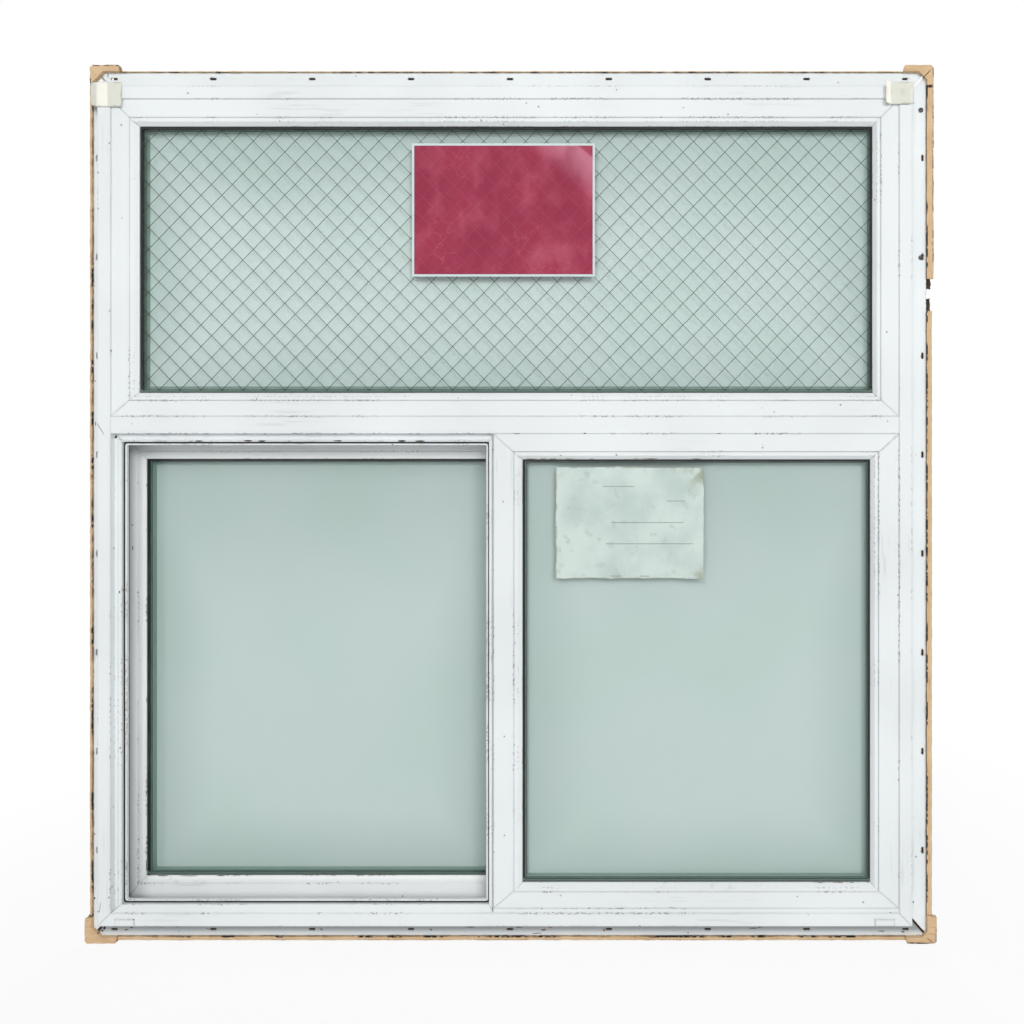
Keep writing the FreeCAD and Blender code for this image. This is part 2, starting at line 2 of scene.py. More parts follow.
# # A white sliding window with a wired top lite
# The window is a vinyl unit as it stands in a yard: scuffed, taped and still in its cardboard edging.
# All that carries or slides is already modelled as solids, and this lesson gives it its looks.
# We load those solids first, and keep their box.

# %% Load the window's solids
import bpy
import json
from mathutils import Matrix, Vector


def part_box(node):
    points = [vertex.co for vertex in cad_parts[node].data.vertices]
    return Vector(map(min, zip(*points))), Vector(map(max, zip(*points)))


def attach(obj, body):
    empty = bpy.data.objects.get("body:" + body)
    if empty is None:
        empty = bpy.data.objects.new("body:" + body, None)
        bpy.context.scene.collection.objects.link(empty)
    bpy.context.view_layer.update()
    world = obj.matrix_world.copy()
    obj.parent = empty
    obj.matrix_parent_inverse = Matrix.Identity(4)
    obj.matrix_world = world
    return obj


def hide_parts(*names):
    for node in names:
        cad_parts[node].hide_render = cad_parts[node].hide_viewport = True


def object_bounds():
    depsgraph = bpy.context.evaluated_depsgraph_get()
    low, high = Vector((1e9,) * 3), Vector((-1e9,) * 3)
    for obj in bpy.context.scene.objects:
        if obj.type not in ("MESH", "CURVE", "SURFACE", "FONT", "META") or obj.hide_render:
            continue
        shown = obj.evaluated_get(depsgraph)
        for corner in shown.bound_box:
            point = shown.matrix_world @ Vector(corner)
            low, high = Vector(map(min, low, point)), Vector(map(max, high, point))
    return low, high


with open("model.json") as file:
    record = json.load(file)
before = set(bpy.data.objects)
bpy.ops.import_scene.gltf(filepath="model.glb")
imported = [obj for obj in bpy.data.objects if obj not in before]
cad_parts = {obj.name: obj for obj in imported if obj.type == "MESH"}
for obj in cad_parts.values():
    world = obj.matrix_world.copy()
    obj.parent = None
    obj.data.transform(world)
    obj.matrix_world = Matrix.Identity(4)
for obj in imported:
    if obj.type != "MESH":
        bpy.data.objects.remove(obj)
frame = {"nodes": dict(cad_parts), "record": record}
cad_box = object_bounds()
nodes = frame["nodes"]
corners = [tuple(round(value, 4) for value in corner) for corner in cad_box]
print("loaded", len(nodes), "solids, box", corners)

# %% [markdown]
# ## The camera
# The photograph was taken square to the window, from a little right of its middle and above it.
# A camera could be turned towards the middle, but then the upright frame would lean.
# So ours looks straight along +Y, as a view camera does, and its shift puts the window in the picture.
# One helper turns a place in the photograph into a point on any upright plane of the window, which is
# how the label, the tag and the tape find their seats.

# %% Camera
import bpy
import math
from mathutils import Vector

MM = 0.001
IMAGE_SIZE = 1024
PIXEL = 1.4795 * MM
FRAME_MIDDLE_PIXEL = (504.75, 506.05)
CAMERA_DISTANCE = 1.30
CAMERA_RIGHT = 0.310
CAMERA_ABOVE = 0.120
SENSOR = 36.0

head_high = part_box("frame_head")[1]
sill_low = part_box("frame_sill")[0]
front_y = sill_low.y
frame_middle_z = (sill_low.z + head_high.z) / 2
eye = Vector((CAMERA_RIGHT, front_y - CAMERA_DISTANCE, frame_middle_z + CAMERA_ABOVE))


def photo_point(pixel_x, pixel_y, depth):
    """The point at depth Y that shows at a pixel of the photograph."""
    spread = (depth - eye.y) / CAMERA_DISTANCE
    front_x = (pixel_x - FRAME_MIDDLE_PIXEL[0]) * PIXEL
    front_z = frame_middle_z + (FRAME_MIDDLE_PIXEL[1] - pixel_y) * PIXEL
    return Vector((eye.x + (front_x - eye.x) * spread, depth, eye.z + (front_z - eye.z) * spread))


picture_width = IMAGE_SIZE * PIXEL
picture_middle = photo_point(IMAGE_SIZE / 2, IMAGE_SIZE / 2, front_y)
bpy.ops.object.camera_add(location=eye, rotation=(math.pi / 2, 0, 0))
camera = bpy.context.object
camera.name = "photo_camera"
camera.data.sensor_width = SENSOR
camera.data.lens = SENSOR * CAMERA_DISTANCE / picture_width
camera.data.shift_x = (picture_middle.x - eye.x) / picture_width
camera.data.shift_y = (picture_middle.z - eye.z) / picture_width
bpy.context.scene.camera = camera
bpy.context.scene.view_settings.view_transform = "Standard"
print("camera at", tuple(round(value, 3) for value in eye), "lens", round(camera.data.lens, 2), "mm")

# %% [markdown]
# ## Node helpers
# Every finish below is a small tree of nodes. Clicking them together by hand is slow to read back, so
# a few helpers stand for the things we do all the time: add a node, do a sum, blend two colours, cut a soft
# threshold, draw noise and raise a bump. Colours are written as a screen shows them, and turned into
# linear light here.

# %% Node helpers


def screen_colour(red, green, blue):
    """A colour given as screen values from 0 to 255, in linear light."""
    linear = []
    for value in (red, green, blue):
        share = value / 255
        linear.append(share / 12.92 if share <= 0.04045 else ((share + 0.055) / 1.055) ** 2.4)
    return (*linear, 1.0)


def feed(socket, value):
    """Link a socket to another node's output, or set its own value."""
    if isinstance(value, bpy.types.NodeSocket):
        socket.id_data.links.new(value, socket)
    else:
        socket.default_value = value


def add_node(tree, kind, buttons=None, **sockets):
    """Add a shader node, set its buttons, and feed its sockets by name."""
    node = tree.nodes.new("ShaderNode" + kind)
    for button, choice in (buttons or {}).items():
        setattr(node, button, choice)
    for label, value in sockets.items():
        feed(node.inputs[label.replace("_", " ")], value)
    return node


def sum_of(tree, operation, first, second=0.0):
    """One sum on two numbers."""
    node = add_node(tree, "Math", {"operation": operation})
    feed(node.inputs[0], first)
    feed(node.inputs[1], second)
    return node.outputs[0]


def times(tree, first, second):
    """Two numbers multiplied, so that both have a say."""
    return sum_of(tree, "MULTIPLY", first, second)


def blended(tree, share, first, second):
    """Two colours blended by a share."""
    node = add_node(tree, "Mix", {"data_type": "RGBA"})
    feed(node.inputs[0], share)
    feed(node.inputs[6], first)
    feed(node.inputs[7], second)
    return node.outputs[2]


def ramp(tree, value, low, high, start=0.0, end=1.0):
    """A soft step of a value from low to high."""
    node = add_node(
        tree,
        "MapRange",
        {"interpolation_type": "SMOOTHSTEP"},
        Value=value,
        From_Min=low,
        From_Max=high,
        To_Min=start,
        To_Max=end,
    )
    return node.outputs[0]


def cloud(tree, place, scale, detail=3.0, stretch=None):
    """Noise at a place, drawn out along an axis where stretch says so."""
    if stretch:
        place = add_node(tree, "Mapping", Vector=place, Scale=stretch).outputs[0]
    return add_node(tree, "TexNoise", Vector=place, Scale=scale, Detail=detail).outputs[0]


def new_finish(name):
    """A material with its tree, its main shader and the object's coordinates."""
    material = bpy.data.materials.new(name)
    material.use_nodes = True
    tree = material.node_tree
    place = add_node(tree, "TexCoord").outputs["Object"]
    return material, tree, tree.nodes["Principled BSDF"], place


def relief(tree, height, strength, distance):
    """A bump normal from a height."""
    return add_node(tree, "Bump", Strength=strength, Distance=distance, Height=height).outputs[0]


print("helpers ready")

# %% [markdown]
# ## Floor and light
# The window stands on a plain pale floor in soft light that comes from nearly everywhere. One big lamp up
# on the right makes lips and beads cast short shadows down and to the left, one high in front lights the
# foot of the vent, and a weak one stands on the room side. A bright wall would give the white background
# too, but it would light the window. So floor and world are white only for camera, glossy and see-through
# rays.

# %% Floor, lamps and world
FLOOR_SIZE = 16.0
FLOOR_DROP = 0.3 * MM
FLOOR_SIDES = 96
SKY_LIGHT = 0.30
SKY_TINT = (0.97, 0.985, 1.0, 1.0)
SHADOW_KEPT = 0.12
SHADOW_REACH = 0.7
WHITE = (1.0, 1.0, 1.0, 1.0)


def seen_by_eye(tree):
    """1 for the rays that the camera sends, straight, by a shine or through glass."""
    rays = add_node(tree, "LightPath")
    seen = sum_of(tree, "MAXIMUM", rays.outputs["Is Camera Ray"], rays.outputs["Is Glossy Ray"])
    return sum_of(tree, "MAXIMUM", seen, rays.outputs["Is Transmission Ray"])


def swapped(tree, share, first, second):
    """One shader that gives way to another by a share."""
    node = add_node(tree, "MixShader", Fac=share)
    feed(node.inputs[1], first.outputs[0])
    feed(node.inputs[2], second.outputs[0])
    return node


bpy.ops.object.select_all(action="DESELECT")
bpy.ops.mesh.primitive_circle_add(
    vertices=FLOOR_SIDES,
    radius=FLOOR_SIZE / 2,
    fill_type="NGON",
    location=(0, 0, cad_box[0].z - FLOOR_DROP),
)
floor = bpy.context.object
floor.name = "floor"
bpy.ops.object.transform_apply(location=True)
material, tree, shader, place = new_finish("pale_floor")
feed(
    shader.inputs["Base Color"],
    blended(tree, cloud(tree, place, 0.8), screen_colour(247, 247, 247), screen_colour(250, 250, 250)),
)
shader.inputs["Roughness"].default_value = 0.9
shader.inputs["Specular IOR Level"].default_value = 0.0
away = add_node(tree, "VectorMath", {"operation": "LENGTH"}, Vector=place).outputs["Value"]
bright = ramp(tree, away, cad_box[1].x, cad_box[1].x + SHADOW_REACH, 1.0 - SHADOW_KEPT, 1.0)
white = add_node(tree, "Emission", Color=WHITE, Strength=1.0)
shown = swapped(tree, times(tree, seen_by_eye(tree), bright), shader, white)
feed(tree.nodes["Material Output"].inputs["Surface"], shown.outputs[0])
floor.data.materials.append(material)

world = bpy.data.worlds.new("soft_studio")
world.use_nodes = True
bpy.context.scene.world = world
tree = world.node_tree
sky = tree.nodes["Background"]
sky.inputs["Color"].default_value = SKY_TINT
sky.inputs["Strength"].default_value = SKY_LIGHT
white = add_node(tree, "Background", Color=WHITE, Strength=1.0)
shown = swapped(tree, seen_by_eye(tree), sky, white)
feed(tree.nodes["World Output"].inputs["Surface"], shown.outputs[0])

LAMPS = {
    "key_lamp": ((6.5, -13.0, 5.8), 4.8, 1030.0),
    "fill_lamp": ((-0.6, -6.4, 4.9), 3.0, 178.0),
    "room_lamp": ((0.4, 3.0, 2.6), 2.4, 40.0),
}


def soft_lamp(name, position, size, power):
    """A square lamp that faces the middle of the window."""
    aim = Vector((0, 0, frame_middle_z)) - Vector(position)
    turn = aim.to_track_quat("-Z", "Y").to_euler()
    bpy.ops.object.light_add(type="AREA", location=position, rotation=turn)
    lamp = bpy.context.object
    lamp.name = name
    lamp.data.size = size
    lamp.data.energy = power
    lamp.visible_glossy = False


for name, (position, size, power) in LAMPS.items():
    soft_lamp(name, position, size, power)
print("floor, world and", len(LAMPS), "lamps")

# %% [markdown]
# ## White vinyl
# The frame is extruded vinyl: faint lines run along each bar, grey scuffs follow them, and dirt sits in
# small specks. The corners that a forklift and a floor have knocked show brown and black chips.
# Chips could be painted one by one. Instead the Bevel node finds every edge by itself: where its rounded
# normal leaves the true one, an edge is near, and noise then breaks that line into separate chips.
# Bars that lie and bars that stand get their own copy, so that the lines run with the extrusion.

# %% White vinyl
EDGE_REACH = 3.2 * MM
LINE_DEPTH = 0.05 * MM
LINE_SCALE = 220.0
SCUFF_GREY = screen_colour(166, 170, 172)
SCUFF_BROWN = screen_colour(160, 138, 122)
SPECK_GREY = screen_colour(96, 92, 88)
JOINT_GREY = screen_colour(112, 112, 110)
SILL_SHADE_GREY = screen_colour(112, 116, 118)
CHIP_BROWN = screen_colour(112, 84, 62)
CHIP_BLACK = screen_colour(36, 34, 32)


def edge_match(tree, reach):
    """How well a rounded normal fits the flat face: 1 far from a corner and less close to it."""
    rounded = add_node(tree, "Bevel", {"samples": 2}, Radius=reach).outputs[0]
    flat = add_node(tree, "NewGeometry").outputs["True Normal"]
    match = add_node(tree, "VectorMath", {"operation": "DOT_PRODUCT"})
    feed(match.inputs[0], rounded)
    feed(match.inputs[1], flat)
    return match.outputs["Value"]


def specks(tree, place, scale, size, share):
    """Small round spots, of which only a share shows."""
    cells = add_node(tree, "TexVoronoi", Vector=place, Scale=scale)
    spot = ramp(tree, cells.outputs["Distance"], size, size * 0.5)
    chance = add_node(tree, "SeparateColor", Color=cells.outputs["Color"]).outputs[0]
    return times(tree, spot, ramp(tree, chance, 1.0 - share, 1.02 - share))


def vinyl(name, tone, stretch, chip_start, scuff_tone=SCUFF_GREY, shade_span=None):
    """White vinyl with extrusion lines, scuffs, specks, chipped corners and, where asked, painted shade."""
    material, tree, shader, place = new_finish(name)
    haze = cloud(tree, place, 5.0, 1.0)
    lines = cloud(tree, place, 1.0, 1.0, [LINE_SCALE * value for value in stretch])
    scuff = ramp(tree, haze, 0.5, 0.7, 0.0, 0.22)
    scuff = times(tree, ramp(tree, lines, 0.60, 0.72), scuff)
    spots = specks(tree, place, 60.0, 0.11, 0.2)
    match = edge_match(tree, EDGE_REACH)
    joint = ramp(tree, haze, 0.3, 0.6, 0.25, 0.6)
    joint = times(tree, ramp(tree, match, 0.88, 0.70), joint)
    patch = ramp(tree, cloud(tree, place, 13.0, 1.0), 0.50, 0.58)
    flake = ramp(tree, cloud(tree, place, 280.0, 1.0), chip_start, chip_start + 0.05)
    chip = times(tree, patch, flake)
    chip = times(tree, ramp(tree, match, 0.985, 0.90), chip)
    shade = [value * 0.94 for value in tone[:3]]
    colour = blended(tree, ramp(tree, haze, 0.35, 0.7), tone, (*shade, 1.0))
    colour = blended(tree, scuff, colour, scuff_tone)
    # Painted shade: a grey band on the sill's fin, darkest just under the frame's edge that overhangs it.
    if shade_span:
        height = add_node(tree, "SeparateXYZ", Vector=place).outputs[2]
        grime = ramp(tree, height, shade_span[0], shade_span[1], 0.0, 0.8)
        grime = times(tree, grime, ramp(tree, height, shade_span[2], shade_span[2] - MM))
        colour = blended(tree, grime, colour, SILL_SHADE_GREY)
    colour = blended(tree, joint, colour, JOINT_GREY)
    colour = blended(tree, times(tree, spots, 0.75), colour, SPECK_GREY)
    bruise = blended(tree, ramp(tree, haze, 0.44, 0.56), CHIP_BROWN, CHIP_BLACK)
    feed(shader.inputs["Base Color"], blended(tree, chip, colour, bruise))
    feed(shader.inputs["Roughness"], ramp(tree, sum_of(tree, "ADD", haze, scuff), 0.3, 1.2, 0.34, 0.62))
    feed(shader.inputs["Normal"], relief(tree, lines, 0.5, LINE_DEPTH))
    return material


ALONG_X = (0.06, 1.0, 1.0)
ALONG_Z = (1.0, 1.0, 0.06)
EVEN = (0.5, 0.5, 0.5)
FEW_CHIPS = 0.55
SOME_CHIPS = 0.53
MANY_CHIPS = 0.50
FRAME_TONE = screen_colour(229, 233, 234)
# The sash's white is painted lighter than the frame's: painted light that makes up for the shade deep in
# the vent.
SASH_LIGHTENED_TONE = screen_colour(243, 245, 245)
SILL_FIN = 31.75 * MM
sill_edge = sill_low.z + SILL_FIN
# Where the painted shade under the sill's edge lies on the fin.
SILL_FIN_SHADE = (sill_edge - 32.0 * MM, sill_edge - 20.0 * MM, sill_edge)
finishes = {
    "frame_across": vinyl("frame_vinyl_across", FRAME_TONE, ALONG_X, FEW_CHIPS),
    "frame_upright": vinyl("frame_vinyl_upright", FRAME_TONE, ALONG_Z, FEW_CHIPS),
    "frame_beads": vinyl("frame_vinyl_beads", FRAME_TONE, EVEN, MANY_CHIPS),
    "frame_sill": vinyl("frame_vinyl_sill", FRAME_TONE, ALONG_X, SOME_CHIPS, SCUFF_GREY, SILL_FIN_SHADE),
    "sash_across": vinyl("sash_vinyl_across", SASH_LIGHTENED_TONE, ALONG_X, FEW_CHIPS, SCUFF_BROWN),
    "sash_upright": vinyl("sash_vinyl_upright", SASH_LIGHTENED_TONE, ALONG_Z, FEW_CHIPS),
    "sash_beads": vinyl("sash_vinyl_beads", SASH_LIGHTENED_TONE, EVEN, MANY_CHIPS),
}


def dress(node, material):
    """Give a solid its finish."""
    nodes[node].data.materials.clear()
    nodes[node].data.materials.append(material)


body_of_slot = {"frame_vinyl": "frame", "weep_cover": "frame", "sash_vinyl": "sash"}
dressed = 0
for row in frame["record"]["subparts"]:
    family = body_of_slot.get(row["material_slot"])
    if family is None:
        continue
    low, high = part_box(row["node"])
    lie = "across" if high.x - low.x > high.z - low.z else "upright"
    if row["node"].endswith(("_beads", "_sill")):
        lie = row["node"].split("_")[-1]
    dress(row["node"], finishes[family + "_" + lie])
    dressed += 1
print("vinyl on", dressed, "solids")

# %% [markdown]
# ## Frosted inner panes
# Each lite is a sealed unit of two panes. The inner pane is acid etched: a pale sea green that scatters
# light. Painted shade deepens it towards its edges and its head, where the frame keeps light out. The top
# lite's is paler than the others, and at its foot a painted reflection of the spacer bar makes a deep green
# band.
# Rough glass that bends light would be true to life, but slow and noisy. With a plain wall or a dark room
# behind it, etched glass looks like a matt sheet with a very fine grain, so that is what we make.

# %% Frosted panes
PANE_TO_SIGHT = 14.0 * MM
EDGE_SHADE_REACH = 110.0 * MM
WIRED_FROST = (screen_colour(201, 214, 211), screen_colour(181, 197, 193))
PLAIN_FROST = (screen_colour(189, 203, 199), screen_colour(172, 187, 183))
SPACER_REFLECTION_TONE = screen_colour(104, 130, 120)


def outside_of(tree, place, low, high):
    """How far a point lies outside an upright rectangle, less than zero inside it."""
    parts = add_node(tree, "SeparateXYZ", Vector=place)
    gaps = []
    for axis, lowest, highest in ((0, low.x, high.x), (2, low.z, high.z)):
        offset = sum_of(tree, "SUBTRACT", parts.outputs[axis], (lowest + highest) / 2)
        gaps.append(sum_of(tree, "SUBTRACT", sum_of(tree, "ABSOLUTE", offset), (highest - lowest) / 2))
    return sum_of(tree, "MAXIMUM", gaps[0], gaps[1])


def outside_sight(tree, place, pane):
    """How far a point lies outside the part of a pane that shows in its frame."""
    low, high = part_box(pane)
    sight = Vector((PANE_TO_SIGHT, 0, PANE_TO_SIGHT))
    return outside_of(tree, place, low + sight, high - sight)


def frosted(lite, tones, reflection_band):
    """Etched glass with painted shade towards the edges and head of one pane and a painted reflection at
    its foot.
    """
    material, tree, shader, place = new_finish(lite + "_frost")
    low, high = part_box(lite + "_inner_pane")
    depth = outside_sight(tree, place, lite + "_inner_pane")
    height = add_node(tree, "SeparateXYZ", Vector=place).outputs[2]
    # Painted shade: darker towards the pane's edges and towards its head, where the frame keeps light out.
    edge = ramp(tree, depth, -EDGE_SHADE_REACH, 0.0, 0.0, 0.8)
    head = ramp(tree, height, low.z + 0.55 * (high.z - low.z), high.z, 0.0, 0.95)
    drift = cloud(tree, place, 2.6, 1.0)
    share = sum_of(tree, "MAXIMUM", edge, head)
    share = sum_of(tree, "ADD", share, ramp(tree, drift, 0.3, 0.7, -0.06, 0.12))
    colour = blended(tree, share, *tones)
    # Painted reflection of the spacer bar: a deep green band at the pane's foot.
    if reflection_band:
        band_top = low.z + PANE_TO_SIGHT + reflection_band
        foot = ramp(tree, height, band_top, band_top - 0.6 * MM, 0.0, 0.85)
        colour = blended(tree, foot, colour, SPACER_REFLECTION_TONE)
    feed(shader.inputs["Base Color"], colour)
    grain = cloud(tree, place, 900.0, 0.0)
    feed(shader.inputs["Roughness"], ramp(tree, grain, 0.3, 0.7, 0.5, 0.7))
    feed(shader.inputs["Normal"], relief(tree, grain, 0.03, 0.1 * MM))
    return material


SPACER_MIRROR = 5.0 * MM
dress("top_lite_inner_pane", frosted("top_lite", WIRED_FROST, SPACER_MIRROR))
dress("fixed_lite_inner_pane", frosted("fixed_lite", PLAIN_FROST, 0.0))
dress("sash_inner_pane", frosted("sash", PLAIN_FROST, 0.0))
print("three frosted panes")

# %% [markdown]
# ## Clear outer panes
# The outer pane is flat clear glass with a green cast and a film of yard dust. Light has to pass it on its
# way to the etched pane, and glass that bends light would stop the lamps. So each face is a thin sheet:
# see-through when met square, a mirror when met at a slant, as the Fresnel node decides. Rays go straight
# through here, so the face where they leave gets the index turned over and mirrors no more than the first.
# Light on its way from a lamp skips the film and the shine, which keeps the render quick.

# %% Clear panes
GLASS_INDEX = 1.45


def clear_pane(name, clean, dusty):
    """Flat see-through glass with a mirror's edge-on shine and a film of dust."""
    material, tree, shader, place = new_finish(name)
    tree.nodes.remove(shader)
    smear = ramp(tree, cloud(tree, place, 6.0, 0.0), 0.4, 0.75)
    film = add_node(tree, "BsdfTransparent", Color=blended(tree, smear, clean, dusty))
    shine = add_node(tree, "BsdfGlossy", Roughness=0.0)
    leaving = add_node(tree, "NewGeometry").outputs["Backfacing"]
    index = ramp(tree, leaving, 0.0, 1.0, GLASS_INDEX, 1.0 / GLASS_INDEX)
    slant = add_node(tree, "Fresnel", IOR=index)
    face = swapped(tree, slant.outputs[0], film, shine)
    lamp_light = add_node(tree, "LightPath").outputs["Is Shadow Ray"]
    through = add_node(tree, "BsdfTransparent", Color=clean)
    sheet = swapped(tree, lamp_light, face, through)
    feed(tree.nodes["Material Output"].inputs["Surface"], sheet.outputs[0])
    return material


GLASS_CLEAN = screen_colour(254, 255, 255)
GLASS_DUSTY = screen_colour(252, 254, 253)
dress("top_lite_outer_pane", clear_pane("wired_glass", GLASS_CLEAN, GLASS_DUSTY))
dress("fixed_lite_outer_pane", clear_pane("float_glass", GLASS_CLEAN, GLASS_DUSTY))
dress("sash_outer_pane", clear_pane("sash_float_glass", GLASS_CLEAN, GLASS_DUSTY))
print("three clear panes")

# %% [markdown]
# ## Seals and spacers
# A black rubber lip shows round each pane, dusty in patches. Where it lies level at the foot it is painted
# green-grey as a reflection of the spacer bar. Behind it lies the aluminium spacer bar that keeps the two
# panes apart: a dull green-grey strip with a painted highlight on its shoulder near the frame and a dark
# line of sealant at its inner edge. The lines could be modelled as thin strips, but they follow the pane's
# outline, so the same rectangle that shaded the frost draws them.

# %% Seals and spacers
GASKET_DUST = screen_colour(74, 78, 76)
FOOT_SPACER_REFLECTION = screen_colour(96, 118, 109)
LIP_HEIGHT = 4.4 * MM
LIP_SOFT = 0.5 * MM


def rubber(name, tone, foot=None):
    """Black rubber, dusty in patches, and at a given foot painted green-grey as a reflection of the spacer.
    """
    material, tree, shader, place = new_finish(name)
    dust = ramp(tree, cloud(tree, place, 24.0, 2.0), 0.5, 0.8, 0.0, 0.5)
    colour = blended(tree, dust, tone, GASKET_DUST)
    # At the foot the lip is painted green-grey, a painted reflection of the spacer bar that joins the band
    # on the frost.
    if foot:
        height = add_node(tree, "SeparateXYZ", Vector=place).outputs[2]
        lip_low = foot - LIP_HEIGHT
        level = ramp(tree, height, lip_low, lip_low + LIP_SOFT, 0.0, 0.85)
        level = times(tree, level, ramp(tree, height, foot, foot - LIP_SOFT))
        colour = blended(tree, level, colour, FOOT_SPACER_REFLECTION)
    feed(shader.inputs["Base Color"], colour)
    feed(shader.inputs["Roughness"], ramp(tree, dust, 0.0, 0.5, 0.5, 0.8))
    return material


SPACER_DARK = screen_colour(62, 86, 76)
SPACER_PALE = screen_colour(88, 112, 102)
SPACER_SHOULDER_HIGHLIGHT = screen_colour(146, 170, 160)
SPACER_SEALANT = screen_colour(52, 70, 62)
SPACER_FLANK = screen_colour(128, 152, 143)
SHOULDER_FROM = 1.3 * MM
SHOULDER_TO = 2.6 * MM
SEALANT_TO = 1.1 * MM
FLANK_TO = 0.2 * MM
LINE_SOFT = 0.3 * MM


def spacer_bar(lite):
    """Dull aluminium with a painted highlight on its shoulder and a dark line of sealant."""
    material, tree, shader, place = new_finish(lite + "_spacer_bar")
    depth = outside_sight(tree, place, lite + "_outer_pane")
    tarnish = cloud(tree, place, 30.0, 2.0)
    colour = blended(tree, tarnish, SPACER_DARK, SPACER_PALE)
    # Painted highlight: a bright band along the spacer's shoulder.
    shoulder = ramp(tree, depth, SHOULDER_FROM, SHOULDER_FROM + LINE_SOFT)
    shoulder = times(tree, shoulder, ramp(tree, depth, SHOULDER_TO, SHOULDER_TO - LINE_SOFT))
    colour = blended(tree, shoulder, colour, SPACER_SHOULDER_HIGHLIGHT)
    colour = blended(tree, ramp(tree, depth, SEALANT_TO, SEALANT_TO - LINE_SOFT), colour, SPACER_SEALANT)
    flank = ramp(tree, depth, FLANK_TO, FLANK_TO / 2)
    feed(shader.inputs["Base Color"], blended(tree, flank, colour, SPACER_FLANK))
    feed(shader.inputs["Roughness"], ramp(tree, tarnish, 0.3, 0.7, 0.35, 0.55))
    feed(shader.inputs["Metallic"], times(tree, shoulder, 0.6))
    return material


GASKET_BLACK = screen_colour(26, 28, 28)
for lite in ("top_lite", "fixed_lite", "sash"):
    sight_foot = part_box(lite + "_outer_pane")[0].z + PANE_TO_SIGHT
    dress(lite + "_gasket", rubber(lite + "_gasket_rubber", GASKET_BLACK, sight_foot))
    dress(lite + "_spacer", spacer_bar(lite))
print("gaskets and spacers on three lites")

# %% [markdown]
# ## Small fittings
# Rollers, latch and brush strips hardly show from outdoors, but they do from the room side and when the
# sash is open. The rollers are dark nylon, the latch is a smoother white moulding, and the brush pile has
# fine upright hairs. Hairs could be grown one by one, but at this size a stretched noise gives them.

# %% Small fittings


def moulding(name, tone, roughness):
    """Moulded plastic with a fine grain and rubbed patches."""
    material, tree, shader, place = new_finish(name)
    grain = cloud(tree, place, 600.0, 2.0)
    rub = cloud(tree, place, 40.0, 4.0)
    dark = [value * 0.85 for value in tone[:3]]
    feed(shader.inputs["Base Color"], blended(tree, rub, tone, (*dark, 1.0)))
    feed(shader.inputs["Roughness"], ramp(tree, rub, 0.3, 0.7, roughness, roughness + 0.15))
    feed(shader.inputs["Normal"], relief(tree, grain, 0.2, 0.1 * MM))
    return material


def pile(name, tone):
    """Brush pile of fine hairs."""
    material, tree, shader, place = new_finish(name)
    hairs = cloud(tree, place, 1.0, 3.0, (1400.0, 300.0, 1400.0))
    light = [value * 1.8 for value in tone[:3]]
    feed(shader.inputs["Base Color"], blended(tree, hairs, tone, (*light, 1.0)))
    shader.inputs["Roughness"].default_value = 0.9
    feed(shader.inputs["Normal"], relief(tree, hairs, 0.8, 0.5 * MM))
    return material


dress("sash_rollers", moulding("roller_nylon", screen_colour(52, 52, 54), 0.4))
dress("sash_latch", moulding("latch_moulding", screen_colour(232, 234, 234), 0.28))
dress("track_brushes", pile("brush_pile", screen_colour(118, 120, 122)))
print("fittings dressed")

# %% [markdown]
# ## Cardboard
# The edging that protects the nail fin is brown card: tan paper over flutes, darker where it is cut or
# rubbed, with black grime in the cut ends. A picture of card would smear on such narrow strips, so fibres
# and the shadow lines of the flutes are drawn as noise. A cut edge is told by how far a point lies inside
# its own piece's outline, which is the sum that shaded the panes, and two more noises tear that edge.

# %% Cardboard
CARD_PALE = screen_colour(224, 196, 158)
CARD_DEEP = screen_colour(192, 158, 120)
CARD_FIBRE = screen_colour(158, 126, 92)
CARD_CUT = screen_colour(96, 68, 46)
CARD_GRIME = screen_colour(34, 28, 24)
CARD_RIM = 2.6 * MM
RIM_SHARE = 0.3
TORN_LITTLE = 0.50
TORN_MUCH = 0.42


def cardboard(name, stretch, pale, deep, low, high, torn_from=TORN_LITTLE):
    """Tan card with flutes and fibres, with brown cut edges that are torn black in places."""
    material, tree, shader, place = new_finish(name)
    edge = min(CARD_RIM, RIM_SHARE * min(high.x - low.x, high.z - low.z))
    fibre = cloud(tree, place, 1.0, 3.0, [700.0 * value for value in stretch])
    stain = cloud(tree, place, 28.0, 3.0)
    colour = blended(tree, stain, pale, deep)
    colour = blended(tree, ramp(tree, fibre, 0.5, 0.8, 0.0, 0.6), colour, CARD_FIBRE)
    inward = outside_of(tree, place, low, high)
    cut = ramp(tree, inward, -0.35 * edge, 0.0)
    cut = times(tree, cut, ramp(tree, fibre, 0.35, 0.55, 0.3, 0.8))
    colour = blended(tree, cut, colour, CARD_CUT)
    torn = ramp(tree, cloud(tree, place, 22.0, 1.0), torn_from, torn_from + 0.08)
    ragged = ramp(tree, cloud(tree, place, 170.0, 2.0), 0.40, 0.50)
    grime = times(tree, torn, ragged)
    grime = times(tree, grime, ramp(tree, inward, -edge, -0.4 * edge))
    feed(shader.inputs["Base Color"], blended(tree, grime, colour, CARD_GRIME))
    shader.inputs["Roughness"].default_value = 0.88
    feed(shader.inputs["Normal"], relief(tree, sum_of(tree, "SUBTRACT", fibre, grime), 0.4, 0.5 * MM))
    return material


for node in nodes:
    if node.startswith(("corner_guard", "edge_strip")):
        low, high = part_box(node)
        lie = ALONG_X if high.x - low.x > high.z - low.z else ALONG_Z
        torn_from = TORN_MUCH if "right" in node else TORN_LITTLE
        dress(node, cardboard("card_of_" + node, lie, CARD_PALE, CARD_DEEP, low, high, torn_from))
print("cardboard dressed")

